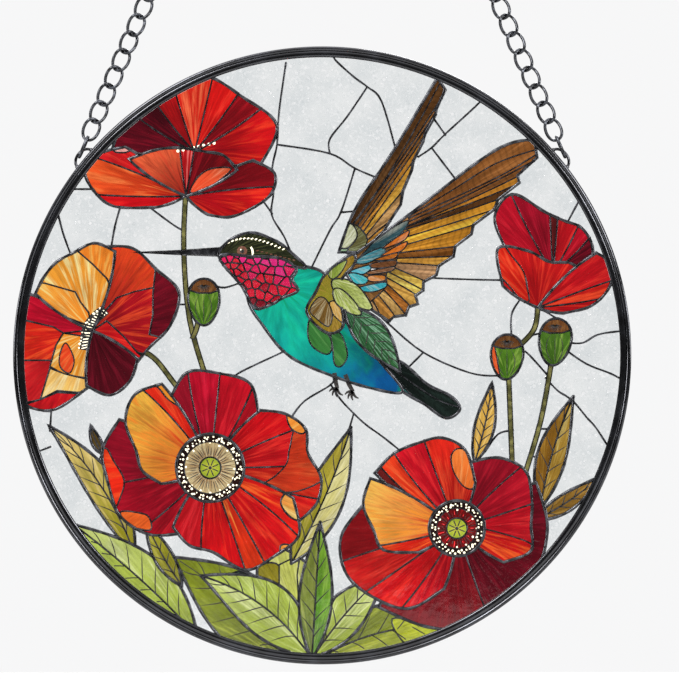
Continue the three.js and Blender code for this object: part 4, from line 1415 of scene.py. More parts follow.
@dataclass
class MeshBuilder:
    """Gathers faces and point values, then makes one object."""

    lift: float
    sharp_angle: float = 38.0
    verts: List[Place] = field(default_factory=list)
    faces: List[Tuple[int, ...]] = field(default_factory=list)
    values: Dict[str, List[Tuple[float, ...]]] = field(default_factory=dict)

    def point(self, x: float, y: float, z: float) -> int:
        """Adds a point given in millimetres from the disc's centre, and returns its number."""
        self.verts.append((x * MM, y * MM, (z + self.lift) * MM))
        return len(self.verts) - 1

    def sweep(self, sections: Sequence[Sequence[Place]], closed: bool) -> None:
        """Joins sections of one length into a tube, capped at both ends if it is open.

        Args:
            sections: the points of each section in turn.
            closed: whether the last joins the first.
        """
        rows = [[self.point(*p) for p in section] for section in sections]
        for a, b in zip(rows, rows[1:] + rows[:1] if closed else rows[1:]):
            for k in range(len(a)):
                m = (k + 1) % len(a)
                self.faces.append((a[k], a[m], b[m], b[k]))
        if not closed:
            self.faces += [tuple(rows[0][::-1]), tuple(rows[-1])]

    def turned(self, profile: Sequence[Point], sides: int) -> None:
        """Adds a ring round the disc's centre from a closed section.

        Args:
            profile: the section's radii and depths.
            sides: how many sides the ring has.
        """
        self.sweep([[(r * math.cos(a), y, r * math.sin(a)) for r, y in profile] for a in turns(sides)], True)

    def plate(self, loops: Sequence[Run], half: float) -> None:
        """Adds a flat plate with the loops as its edges.

        Args:
            loops: the outer loop with its inside on the left, then the holes.
            half: half its depth.
        """
        points = [p for loop in loops for p in loop]
        front, back = ([self.point(p[0], y, p[1]) for p in points] for y in (-half, half))
        for tri in tessellate_polygon([[Vector((*p, 0)) for p in loop] for loop in loops]):
            p, q, r = (points[k] for k in tri)
            size = (q[0] - p[0]) * (r[1] - p[1]) - (q[1] - p[1]) * (r[0] - p[0])
            if abs(size) < 1e-9:
                continue
            a, b, c = tri if size > 0 else (tri[0], tri[2], tri[1])
            self.faces += [(front[a], front[b], front[c]), (back[c], back[b], back[a])]
        start = 0
        for loop in loops:
            for k in range(len(loop)):
                a, b = start + k, start + (k + 1) % len(loop)
                self.faces.append((front[b], front[a], back[a], back[b]))
            start += len(loop)

    def fill_values(self, name: str, value: Tuple[float, ...]) -> None:
        """Gives the points added since the last time one value."""
        row = self.values.setdefault(name, [])
        row += [value] * (len(self.verts) - len(row))

    def make(self, name: str, finish: "Finish", slot: str, smooth: bool, replaced: Sequence[str] = ()) -> None:
        """Makes the object, dresses it and lets it ride.

        Args:
            name: the piece's name.
            finish: its finish.
            slot: not used.
            smooth: whether it is shaded smooth where it is not sharp.
            replaced: the CAD nodes it stands for.
        """
        if not self.faces:
            LOG.warning("%s is empty", name)
            return
        mesh = bpy.data.meshes.new(name)
        mesh.from_pydata(self.verts, [], self.faces)
        mesh.validate()
        for key, rows in self.values.items():
            kind, word = ("FLOAT_COLOR", "color") if len(rows[0]) == 4 else ("FLOAT_VECTOR", "vector")
            mesh.attributes.new(key, kind, "POINT").data.foreach_set(word, [v for row in rows for v in row])
        mesh.materials.append(finish.material())
        if smooth:
            mesh.shade_smooth()
            mesh.set_sharp_from_angle(angle=math.radians(self.sharp_angle))
        piece = bpy.data.objects.new(name, mesh)
        bpy.context.scene.collection.objects.link(piece)
        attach(piece, "root")
        if replaced:
            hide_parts(*replaced)
        LOG.info("%s: %d faces", name, len(mesh.polygons))


# ---------------------------------------------------------------- finishes
def linear(colour: int, over: float = 1.0) -> Tuple[float, float, float, float]:
    """An sRGB number as linear light.

    Args:
        colour: the number.
        over: the white level that it is divided by.

    Returns:
        Red, green, blue and a full alpha.
    """
    parts = [((colour >> shift) & 255) / 255 for shift in (16, 8, 0)]
    light = [v / 12.92 if v <= 0.04045 else ((v + 0.055) / 1.055) ** 2.4 for v in parts]
    return (*(min(1.0, v / over) for v in light), 1.0)


class Nodes:
    """A node tree with short ways to add and join nodes."""

    def __init__(self, tree: bpy.types.NodeTree) -> None:
        """Keeps the tree."""
        self.tree = tree

    def fill(self, node: bpy.types.Node, inputs: dict) -> None:
        """Sets or joins a node's inputs.

        Args:
            node: the node.
            inputs: values or sockets, by the input's name or number.
        """
        for key, value in inputs.items():
            if isinstance(value, bpy.types.NodeSocket):
                self.tree.links.new(value, node.inputs[key])
            else:
                node.inputs[key].default_value = value

    def add(self, kind: str, inputs: Optional[dict] = None, **settings: object) -> bpy.types.Node:
        """Adds a node.

        Args:
            kind: its type, without the common start of shader nodes' names.
            inputs: values or sockets for its inputs.
            settings: values for its own properties.

        Returns:
            The node.
        """
        node = self.tree.nodes.new("ShaderNode" + kind)
        for key, value in settings.items():
            setattr(node, key, value)
        self.fill(node, inputs or {})
        return node

    def maths(self, operation: str, a: object, b: object = 0.0, clamp: bool = False) -> bpy.types.NodeSocket:
        """A Math node's output."""
        return self.add("Math", {0: a, 1: b}, operation=operation, use_clamp=clamp).outputs[0]

    def times(self, a: object, b: object, clamp: bool = False) -> bpy.types.NodeSocket:
        """A product."""
        return self.maths("MULTIPLY", a, b, clamp)

    def spread(self, value: object, low: float, high: float, to_low: float,
               to_high: float) -> bpy.types.NodeSocket:
        """A Map Range node's output."""
        return self.add("MapRange", {"Value": value, "From Min": low, "From Max": high,
                                     "To Min": to_low, "To Max": to_high}).outputs["Result"]

    def blend(self, share: object, a: object, b: object, way: str = "MIX") -> bpy.types.NodeSocket:
        """A colour Mix node's output."""
        return self.add("Mix", {0: share, 6: a, 7: b}, data_type="RGBA", blend_type=way).outputs[2]

    def grey(self, value: object) -> bpy.types.NodeSocket:
        """A grey colour from a number."""
        return self.add("CombineColor", {"Red": value, "Green": value, "Blue": value}).outputs[0]

    def where(self, kind: str = "Object") -> bpy.types.NodeSocket:
        """The place of the shaded point."""
        return self.add("TexCoord").outputs[kind]

    def noise(self, where: object, scale: object, detail: float, **more: float) -> bpy.types.NodeSocket:
        """A Noise Texture node's factor."""
        return self.add("TexNoise", {"Vector": where, "Scale": scale, "Detail": detail, **more}).outputs["Fac"]

    def bump(self, height: object, strength: float, distance: float) -> bpy.types.NodeSocket:
        """A Bump node's normal."""
        return self.add("Bump", {"Strength": strength, "Distance": distance,
                                 "Height": height}).outputs["Normal"]

    def group(self, tree: bpy.types.NodeTree, **inputs: float) -> Dict[str, bpy.types.NodeSocket]:
        """The outputs of a group by name, with its inputs set."""
        return dict(self.add("Group", inputs, node_tree=tree).outputs.items())


def new_group(name: str, inputs: Dict[str, float], outputs: Dict[str, str]) -> Tuple[Nodes, dict,
                                                                                     bpy.types.Node]:
    """Starts a node group.

    Args:
        name: its name.
        inputs: the default of each number that it takes.
        outputs: the socket type of each output.

    Returns:
        Its nodes, its input sockets by name, and its output node.
    """
    tree = bpy.data.node_groups.new(name, "ShaderNodeTree")
    for key, value in inputs.items():
        tree.interface.new_socket(key, in_out="INPUT", socket_type="NodeSocketFloat").default_value = value
    for key, kind in outputs.items():
        tree.interface.new_socket(key, in_out="OUTPUT", socket_type="NodeSocket" + kind)
    source, end = tree.nodes.new("NodeGroupInput"), tree.nodes.new("NodeGroupOutput")
    return Nodes(tree), {key: source.outputs[key] for key in inputs}, end


def streaked_glass_group() -> bpy.types.NodeTree:
    """The group that colours a sheet from its point values: a fan of streaks from the pivot.

    Returns:
        The group, with Color and Height outputs.
    """
    nodes, given, out = new_group("streaked_glass", {"Ripple": 0.5, "Barbs": 0.0},
                                  {"Color": "Color", "Height": "Float"})
    near, far, streak_tone = (nodes.add("Attribute", attribute_name=key).outputs
                              for key in ("near_tone", "far_tone", "streak_tone"))
    pivot, grain = (nodes.add("Attribute", attribute_name=key).outputs["Vector"] for key in ("pivot", "grain"))
    where = nodes.where()
    away = nodes.add("VectorMath", {0: where, 1: pivot}, operation="SUBTRACT").outputs[0]
    parts = nodes.add("SeparateXYZ", {0: away}).outputs
    per_metre, across, shift = nodes.add("SeparateXYZ", {0: grain}).outputs
    angle = nodes.maths("ARCTAN2", parts["Z"], parts["X"])
    reach = nodes.add("VectorMath", {0: away}, operation="LENGTH").outputs["Value"]
    share = nodes.times(reach, per_metre)
    fan = nodes.add("CombineXYZ", {"X": nodes.times(angle, across), "Y": nodes.times(share, 1.6),
                                   "Z": shift}).outputs[0]
    coarse = nodes.noise(fan, 1.0, 3.0, Roughness=0.55, Distortion=0.4)
    fine = nodes.noise(fan, 3.2, 4.0, Roughness=0.6)
    wisp = nodes.noise(where, 55.0, 2.0)
    turned = nodes.maths("ADD", share, nodes.spread(coarse, 0.3, 0.7, -0.34, 0.34), True)
    base = nodes.blend(turned, near["Color"], far["Color"])
    amount = nodes.times(nodes.spread(coarse, 0.5, 0.6, 0.0, 1.35), streak_tone["Alpha"])
    streaked = nodes.blend(nodes.times(amount, nodes.spread(fine, 0.35, 0.65, 0.45, 1.0), True), base,
                           streak_tone["Color"])
    depth = nodes.spread(nodes.maths("ADD", fine, wisp), 0.75, 1.2, 0.66, 1.14)
    waved = nodes.times(nodes.maths("SINE", nodes.times(angle, 38.0)), 2.2)
    barb = nodes.spread(nodes.maths("SINE", nodes.maths("ADD", nodes.times(reach, 1900.0), waved)),
                        0.1, 0.9, 0.0, 1.0)
    shade = nodes.grey(nodes.maths("SUBTRACT", depth, nodes.times(barb, given["Barbs"])))
    height = nodes.maths("ADD", nodes.times(nodes.noise(where, 210.0, 2.0), given["Ripple"]),
                         nodes.times(coarse, nodes.maths("SUBTRACT", 1.0, given["Ripple"])))
    nodes.fill(out, {"Color": nodes.blend(1.0, streaked, shade, "MULTIPLY"), "Height": height})
    return nodes.tree


def handled_metal_group() -> bpy.types.NodeTree:
    """The group for dark metal and paint: a mottled patina, and gloss that changes over it.

    Returns:
        The group, with Mask, Roughness and Height outputs.
    """
    nodes, given, out = new_group("handled_metal", {"Size": 260.0, "Low": 0.2, "High": 0.4},
                                  {"Mask": "Float", "Roughness": "Float", "Height": "Float"})
    where = nodes.where()
    mottle = nodes.noise(where, given["Size"], 4.0)
    mask = nodes.spread(mottle, 0.42, 0.68, 0.0, 1.0)
    span = nodes.times(nodes.maths("SUBTRACT", given["High"], given["Low"]), mask)
    nodes.fill(out, {"Mask": mask, "Roughness": nodes.maths("ADD", given["Low"], span),
                     "Height": nodes.maths("ADD", mottle, nodes.times(nodes.noise(where, 1500.0, 2.0), 0.3))})
    return nodes.tree


def group_for(name: str, make: Callable[[], bpy.types.NodeTree]) -> bpy.types.NodeTree:
    """A node group, made the first time it is asked for."""
    return bpy.data.node_groups.get(name) or make()


@dataclass(frozen=True)
class Finish:
    """What every finish has: a name, and a material made once."""

    name: str

    def material(self) -> bpy.types.Material:
        """The material, made the first time it is asked for.

        Returns:
            The material.
        """
        made = bpy.data.materials.get(self.name)
        if made is None:
            made = bpy.data.materials.new(self.name)
            made.use_nodes = True
            nodes = Nodes(made.node_tree)
            nodes.fill(made.node_tree.nodes["Principled BSDF"], self.inputs(nodes))
        return made

    def inputs(self, nodes: Nodes) -> dict:
        """The shader's inputs, which each kind of finish gives."""
        raise NotImplementedError


@dataclass(frozen=True)
class SheetGlass(Finish):
    """Streaky art glass whose colours come with each sheet."""

    roughness: float = 0.06
    ripple: float = 0.5
    barbs: float = 0.0
    bump: float = 0.12
    depth: float = 0.0006

    def inputs(self, nodes: Nodes) -> dict:
        """The shader's inputs.

        Args:
            nodes: the material's nodes.

        Returns:
            Values and sockets by name.
        """
        streaks = nodes.group(group_for("streaked_glass", streaked_glass_group),
                              Ripple=self.ripple, Barbs=self.barbs)
        return {"Base Color": streaks["Color"], "Normal": nodes.bump(streaks["Height"], self.bump, self.depth),
                "Transmission Weight": 1.0, "Roughness": self.roughness, "IOR": GLASS_IOR}


@dataclass(frozen=True)
class SeedyGlass(Finish):
    """Clear seedy glass: pale, with small bubbles and a lightly hammered face.

    Each bubble's core has a painted highlight and its edge a painted shade; the white flecks are painted
    glints.
    """

    tint: int = 0xDBDFE0
    pale: int = 0xE8EAEA
    # white of the painted highlights and glints; grey of the painted shade at the bubbles' edges
    highlight_white: int = 0xFFFFFF
    bubble_edge_shade: int = 0xB2BABE

    def inputs(self, nodes: Nodes) -> dict:
        """The shader's inputs.

        Args:
            nodes: the material's nodes.

        Returns:
            Values and sockets by name.
        """
        where = nodes.where()
        cells = nodes.add("TexVoronoi", {"Vector": where, "Scale": 330.0, "Randomness": 1.0}).outputs
        pick = nodes.add("SeparateColor", {0: cells["Color"]}).outputs
        within = nodes.maths("SUBTRACT", nodes.spread(pick["Red"], 0.0, 1.0, 0.05, 0.34), cells["Distance"])
        rare = nodes.spread(pick["Green"], 0.4, 0.45, 0.0, 1.0)
        # seed: each bubble's core, which gets a painted highlight; edge: a ring round it, which gets a painted
        # shade
        seed = nodes.times(nodes.spread(within, 0.0, 0.05, 0.0, 1.0), rare)
        edge = nodes.times(nodes.spread(within, -0.09, 0.0, 0.0, 1.0), rare)
        cloud = nodes.spread(nodes.noise(where, 60.0, 3.0), 0.35, 0.65, 0.0, 1.0)
        ground = nodes.blend(cloud, linear(self.tint, STUDIO_WHITE), linear(self.pale, STUDIO_WHITE))
        edge_shaded = nodes.blend(nodes.times(edge, 0.55), ground, linear(self.bubble_edge_shade, STUDIO_WHITE))
        # white flecks: painted glints of the hammered face
        fleck_glints = nodes.spread(nodes.noise(where, 520.0, 3.0, Distortion=1.2), 0.57, 0.66, 0.0, 1.0)
        glinted = nodes.blend(fleck_glints, edge_shaded, linear(self.highlight_white))
        height = nodes.maths("ADD", nodes.noise(where, 150.0, 2.0), nodes.times(seed, 0.8))
        # the bubbles' cores take the painted highlight white
        return {"Base Color": nodes.blend(seed, glinted, linear(self.highlight_white)),
                "Normal": nodes.bump(height, 0.22, 0.0006),
                "Transmission Weight": 1.0, "Roughness": 0.05, "IOR": GLASS_IOR}


@dataclass(frozen=True)
class DarkMetal(Finish):
    """Dark plated or patinated metal."""

    deep: int
    worn: int
    low: float
    high: float
    metallic: float
    coat: float
    size: float
    bump: float

    def inputs(self, nodes: Nodes) -> dict:
        """The shader's inputs.

        Args:
            nodes: the material's nodes.

        Returns:
            Values and sockets by name.
        """
        patina = nodes.group(group_for("handled_metal", handled_metal_group),
                             Size=self.size, Low=self.low, High=self.high)
        return {"Base Color": nodes.blend(patina["Mask"], linear(self.deep), linear(self.worn)),
                "Roughness": patina["Roughness"], "Normal": nodes.bump(patina["Height"], self.bump, 0.0003),
                "Metallic": self.metallic, "Coat Weight": self.coat, "Coat Roughness": 0.12}


@dataclass(frozen=True)
class FiredPaint(Finish):
    """Fired paint on glass, uneven where the brush lifted."""

    colour: int
    roughness: float = 0.42

    def inputs(self, nodes: Nodes) -> dict:
        """The shader's inputs.

        Args:
            nodes: the material's nodes.

        Returns:
            Values and sockets by name.
        """
        patina = nodes.group(group_for("handled_metal", handled_metal_group),
                             Size=700.0, Low=self.roughness - 0.1, High=self.roughness + 0.12)
        deep = linear(self.colour)
        light = (*(min(1.0, v * 1.25 + 0.008) for v in deep[:3]), 1.0)
        return {"Base Color": nodes.blend(patina["Mask"], deep, light), "Roughness": patina["Roughness"]}


RIM_METAL = DarkMetal("black_rim_metal", 0x2A2A2D, 0x3C3D42, 0.1, 0.2, 0.95, 0.5, 90.0, 0.03)
CHAIN_METAL = DarkMetal("black_chain_metal", 0x26272A, 0x46484E, 0.2, 0.36, 0.9, 0.3, 420.0, 0.06)
LINE_METAL = DarkMetal("line_metal", 0x232326, 0x4A4B50, 0.16, 0.34, 0.8, 0.25, 300.0, 0.16)
STEM_METAL = DarkMetal("stem_enamel", 0x34330F, 0x5C5824, 0.3, 0.5, 0.25, 0.3, 240.0, 0.12)
CLEAR_GLASS = SeedyGlass("seedy_sheet")
FIGURE_GLASS = (
    ("bird_throat", SheetGlass("throat_sheet", 0.04, 0.35, 0.0, 0.2, 0.0008)),
    ("bird_breast", SheetGlass("breast_sheet", 0.05, 0.65, 0.0, 0.16)),
    ("bird", SheetGlass("feather_sheet", 0.06, 0.5, 0.2, 0.12)),
    ("poppy", SheetGlass("petal_sheet")), ("", SheetGlass("leaf_sheet", 0.08, 0.6, 0.03, 0.16)))


# ---------------------------------------------------------------- sub-assemblies
@dataclass
class GlassWork:
    """Every glass sheet, gathered into one piece for each pane of the frame."""

    plan: CuttingPlan
    lift: float
    slots: Dict[str, str]
    half_depth: float = 1.4
    bar_half_depth: float = 1.9

    def colour_values(self, builder: MeshBuilder, sheet: Sheet, cutting: Cutting) -> None:
        """Gives a sheet's points their colours and streaks.

        Args:
            builder: what holds the points.
            sheet: the sheet, whose number moves its streaks.
            cutting: what it comes from.
        """
        rng = random.Random(sheet.number * 7919 + 13)
        tone, pivot = cutting.tone, cutting.pivot
        grain = tone.grain * rng.uniform(0.85, 1.15)
        builder.fill_values("pivot", (pivot[0] * MM, 0.0, (pivot[1] + self.lift) * MM))
        builder.fill_values("near_tone", linear(tone.near, STUDIO_WHITE))
        builder.fill_values("far_tone", linear(tone.far, STUDIO_WHITE))
        builder.fill_values("streak_tone", (*linear(tone.streak, STUDIO_WHITE)[:3], tone.amount))
        builder.fill_values("grain", (1 / (tone.reach * MM), grain, rng.uniform(0, 60)))

    def figure_of(self, cutting: Cutting) -> Cutting:
        """The whole figure that a cutting belongs to."""
        plan = self.plan
        return self.figure_of(plan.design.cuttings[plan.numbers[cutting.parent]]) if cutting.parent else cutting

    def build(self) -> None:
        """Makes one object for each coloured pane, and the clear panes and bars."""
        cuttings = self.plan.design.cuttings
        builders: Dict[str, MeshBuilder] = {}
        clear: Dict[int, List[Sheet]] = {}
        for sheet in self.plan.sheets:
            if sheet.label < 0:
                clear.setdefault(sheet.field_part, []).append(sheet)
                continue
            cutting = cuttings[sheet.label]
            figure = self.figure_of(cutting)
            builder = builders.setdefault(figure.name, MeshBuilder(self.lift))
            builder.plate(sheet.loops, self.bar_half_depth if figure.kind is Kind.BAR else self.half_depth)
            if figure.kind is Kind.GLASS:
                self.colour_values(builder, sheet, cutting)
        for name, builder in sorted(builders.items()):
            if cuttings[self.plan.numbers[name]].kind is Kind.BAR:
                builder.make(name, LINE_METAL if name == "bill" else STEM_METAL, "dark_lines", False)
                continue
            finish = next(glass for start, glass in FIGURE_GLASS if name.startswith(start))
            slot = self.slots.get(name, "feather_glass" if name.startswith("bird") else "leaf_glass")
            builder.make(f"{name}_glass", finish, slot, False, [name] if name in self.slots else [])
        self.build_clear(clear)

    def build_clear(self, clear: Dict[int, List[Sheet]]) -> None:
        """Makes the clear panes, each for the frame's node that it lies over.

        Args:
            clear: the clear sheets by the open part of the field that they are in.
        """
        boxes = {node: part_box(node) for node in sorted(self.slots) if node.startswith("clear_")}
        builders = {node: MeshBuilder(self.lift) for node in boxes}
        for sheets in sorted(clear.values(), key=lambda part: -sum(s.area for s in part)):
            points = np.array([p for s in sheets for p in s.loops[0]])
            reach = np.concatenate([points.min(axis=0), points.max(axis=0)])

            def misfit(node: str) -> float:
                """How far a node's box is from this part's."""
                (x1, _, z1), (x2, _, z2) = boxes[node]
                return np.abs(np.array([x1, z1, x2, z2]) / MM - (0, self.lift, 0, self.lift) - reach).sum()
            owner = min([n for n in boxes if not builders[n].faces] or boxes, key=misfit)
            for sheet in sheets:
                builders[owner].plate(sheet.loops, self.half_depth)
        for node, builder in builders.items():
            builder.make(f"{node}_glass", CLEAR_GLASS, "clear_glass", False, [node])


@dataclass
class LineWork:
    """The beaded lines between the sheets, the domes where they meet, and the border line."""

    plan: CuttingPlan
    lift: float
    glass_half: float = 1.4
    crest: float = 2.07
    full_width: float = 1.2
    border_inner: float = 144.9
    border_outer: float = 147.1
    border_sides: int = 240
    dome_sides: int = 10
    swell: float = 0.09
    swell_turn: float = 0.55
    ripple: float = 0.05
    ripple_turn: float = 1.7
    miter: float = 1.5
    seed: int = 3

    def rise(self, half: float) -> float:
        """How far a line of a half width stands above the glass."""
        return (self.crest - self.glass_half) * min(1.0, half / (self.full_width / 2))

    def section(self, half: float) -> List[Tuple[float, float]]:
        """A bead's section.

        Args:
            half: its half width.

        Returns:
            Pairs of across and depth.
        """
        g, rise = self.glass_half, self.rise(half)
        side = [(half, -g), (half * 0.82, -g - rise * 0.62), (half * 0.38, -g - rise)]
        side += [(-u, y) for u, y in side[::-1]]
        return side + [(u, -y) for u, y in side[::-1]]

    def bead(self, builder: MeshBuilder, seam: Seam, rng: random.Random) -> None:
        """Sweeps one bead.

        Args:
            builder: what it is added to.
            seam: its run and width.
            rng: what its unevenness is drawn from.
        """
        run = seam.run[:-1] if seam.closed else seam.run
        n = len(run)
        phase = rng.uniform(0, 6)
        sections = []
        along = 0.0
        for i, p in enumerate(run):
            a = run[i - 1] if (i or seam.closed) else p
            b = run[(i + 1) % n] if (i < n - 1 or seam.closed) else p
            da, db = math.dist(a, p), math.dist(p, b)
            along += da
            ta = ((p[0] - a[0]) / da, (p[1] - a[1]) / da) if da else (0.0, 0.0)
            tb = ((b[0] - p[0]) / db, (b[1] - p[1]) / db) if db else (0.0, 0.0)
            total = (ta[0] + tb[0], ta[1] + tb[1])
            length = math.hypot(*total) or 1.0
            stretch = min(2 / length, self.miter) if da and db else 1.0
            across = (total[1] / length * stretch, -total[0] / length * stretch)
            half = seam.width / 2 * (1 + self.swell * math.sin(along * self.swell_turn + phase)
                                     + self.ripple * math.sin(along * self.ripple_turn))
            sections.append([(p[0] + across[0] * u, y, p[1] + across[1] * u) for u, y in self.section(half)])
        builder.sweep(sections, seam.closed)

    def dome(self, builder: MeshBuilder, place: Point, radius: float) -> None:
        """Adds a low round drop of solder through the glass.

        Args:
            builder: what it is added to.
            place: its middle.
            radius: its radius.
        """
        g, rise = self.glass_half, self.rise(radius) * 1.03
        rows = [(0.5, g + rise * 0.95), (0.86, g + rise * 0.55), (1.0, g)]
        builder.sweep([around(place, radius * s, -y, self.dome_sides) for s, y in rows]
                      + [around(place, radius * s, y, self.dome_sides) for s, y in rows[::-1]], False)

    def build(self) -> None:
        """Makes the line work, one piece for each family and one for the border."""
        rng = random.Random(self.seed)
        for family, name in ((Family.LEAVES, "foliage_lines"), (Family.POPPIES, "poppy_lines"),
                             (Family.BIRD, "bird_lines"), (Family.FIELD, "field_lines")):
            builder = MeshBuilder(self.lift)
            for seam in self.plan.seams:
                if seam.family is family and len(seam.run) > 1:
                    self.bead(builder, seam, rng)
            for place, width, owner in self.plan.joints:
                if owner is family:
                    self.dome(builder, place, width * (0.6 if width > self.full_width else 0.56))
            builder.make(name, LINE_METAL, "dark_lines", True, ["line_network"])
        builder = MeshBuilder(self.lift)
        rows = [(self.border_inner, -1.5), (self.border_inner + 0.35, -1.95), (self.border_outer - 0.2, -2.1),
                (self.border_outer, -2.0)]
        rows += [(r, -y) for r, y in rows[::-1]]
        builder.turned(rows[::-1], self.border_sides)
        builder.make("border_line", LINE_METAL, "dark_lines", True, ["line_network"])


@dataclass
class PaintedDetail:
    """Fired paint on the front of the glass: veins, stamens, the eye, dots and dashes."""

    plan: CuttingPlan
    lift: float
    face: float = -1.4
    sunk: float = 0.02
    thickness: float = 0.05
    layer_step: float = 0.03
    sample_step: float = 1.2
    crown: float = 0.08
    few_sides: int = 10
    many_sides: int = 24
    rim_gap: float = 0.5

    def build(self) -> None:
        """Makes one piece for each paint."""
        design = self.plan.design
        runs = [self.samples(trace) for trace in design.traces]
        places = [p for run in runs for p in run] + [dot.place for dot in design.dots]
        figures = self.plan.labels(np.array(places))[0]
        parts: Dict[Paint, MeshBuilder] = {paint: MeshBuilder(self.lift) for paint in Paint}
        start = 0
        for trace, run in zip(design.traces, runs):
            wanted = self.plan.numbers[trace.owner] if trace.owner else None
            for part, shares in self.shown(run, figures[start:start + len(run)], wanted):
                self.stroke(parts[trace.paint], trace, part, shares)
            start += len(run)
        for dot, figure in zip(design.dots, figures[start:]):
            if dot.owner is None or figure == self.plan.numbers[dot.owner]:
                self.spot(parts[dot.paint], dot)
        for paint, builder in parts.items():
            label, colour, slot = paint.value
            builder.make(label, FiredPaint(label, colour), slot, False)

    def samples(self, trace: Trace) -> Run:
        """Close points along a stroke.

        Args:
            trace: the stroke.

        Returns:
            The points.
        """
        run: Run = []
        for a, b in zip(trace.run, trace.run[1:]):
            steps = max(1, math.ceil(math.dist(a, b) / self.sample_step))
            run += [mix(a, b, k / steps) for k in range(steps)]
        return run + [tuple(trace.run[-1])]

    def shown(self, run: Run, figures: np.ndarray, wanted: Optional[int]) -> List[Tuple[Run, List[float]]]:
        """The parts of a stroke where its owner shows.

        Args:
            run: the stroke's points.
            figures: the figure that shows at each.
            wanted: the owner's number, or None where the stroke may cross any figure.

        Returns:
            Each part's points, and how far along the stroke each is.
        """
        parts: List[Tuple[Run, List[float]]] = [([], [])]
        for i, (p, figure) in enumerate(zip(run, figures)):
            if math.hypot(*p) < self.plan.radius - self.rim_gap and wanted in (None, figure):
                parts[-1][0].append(p)
                parts[-1][1].append(i / (len(run) - 1))
            elif parts[-1][0]:
                parts.append(([], []))
        return [part for part in parts if len(part[0]) > 1]

    def stroke(self, builder: MeshBuilder, trace: Trace, run: Run, shares: List[float]) -> None:
        """Adds one flat stroke.

        Args:
            builder: what it is added to.
            trace: its width and how it thins at its ends.
            run: its points.
            shares: how far along the whole stroke each point is.
        """
        high = self.face + self.sunk
        low = self.face - self.thickness - self.layer_step * trace.layer
        sections = []
        for i, (p, share) in enumerate(zip(run, shares)):
            a, b = run[max(i - 1, 0)], run[min(i + 1, len(run) - 1)]
            d = math.dist(a, b) or 1.0
            swell = trace.taper + (1 - trace.taper) * math.sin(math.pi * min(1, share + 0.15) ** 0.9) ** 0.6 \
                if trace.taper < 1 else 1.0
            half = trace.width / 2 * abs(swell)
            n = ((b[1] - a[1]) / d * half, -(b[0] - a[0]) / d * half)
            sections.append([(p[0] + s * n[0], y, p[1] + s * n[1])
                             for s, y in ((1, high), (1, low), (-1, low), (-1, high))])
        builder.sweep(sections, False)

    def spot(self, builder: MeshBuilder, dot: Dot) -> None:
        """Adds one round spot.

        Args:
            builder: what it is added to.
            dot: its place and size.
        """
        low = self.face - self.thickness - self.layer_step * dot.layer
        rows = [(dot.radius, self.face + self.sunk), (dot.radius, low), (dot.radius * 0.7, low - self.crown)]
        sides = self.few_sides if dot.radius < 1 else self.many_sides
        builder.sweep([around(dot.place, r, y, sides)[::-1] for r, y in rows], False)


@dataclass
class Rim:
    """The channel rim: a rounded outer bead, a shallow valley, and lips over the border line."""

    lift: float
    radius: float = 150.0
    half_depth: float = 3.2
    lip_radius: float = 145.0
    groove_radius: float = 147.4
    lip: float = 0.8
    lip_edge: float = 0.25
    valley: float = 0.42
    bead: float = 2.3
    sides: int = 288

    def profile(self) -> List[Tuple[float, float]]:
        """The rim's section.

        Returns:
            Radius and depth of each point.
        """
        groove = self.half_depth - self.lip
        front = [(self.groove_radius, -groove), (self.lip_radius, -groove),
                 (self.lip_radius, -groove - self.lip_edge), (self.lip_radius + 0.3, -groove - self.valley),
                 (self.radius - self.bead - 0.5, -groove - self.valley),
                 (self.radius - self.bead - 0.2, -groove - 0.3)]
        middle = (self.radius - self.bead / 2, -(self.half_depth - self.bead / 2))
        front += [polar(middle, 200 + 20 * k, self.bead / 2) for k in range(9)]
        return front + [(r, -y) for r, y in front[::-1]]

    def build(self) -> None:
        """Makes the rim."""
        builder = MeshBuilder(self.lift)
        builder.turned(self.profile(), self.sides)
        builder.make("channel_rim", RIM_METAL, "black_metal", True, ["rim"])


def wire(builder: MeshBuilder, path: Sequence[Vector], radius: float, sides: int, closed: bool) -> None:
    """Adds round wire along a path.

    Args:
        builder: what it is added to.
        path: its middle line.
        radius: the wire's radius.
        sides: how many sides its section has.
        closed: whether it joins itself.
    """
    n = len(path)
    sections = []
    normal = None
    for i, p in enumerate(path):
        a = path[i - 1] if (i or closed) else p
        b = path[(i + 1) % n] if (i < n - 1 or closed) else p
        tangent = (b - a).normalized()
        if normal is None:
            guess = Vector((0, 1, 0)) if abs(tangent.y) < 0.8 else Vector((1, 0, 0))
            normal = (guess - tangent * guess.dot(tangent)).normalized()
        normal = (normal - tangent * normal.dot(tangent)).normalized()
        side = tangent.cross(normal)
        sections.append([tuple(p + normal * (radius * math.cos(t)) + side * (radius * math.sin(t)))
                         for t in turns(sides)][::-1])
    builder.sweep(sections, closed)


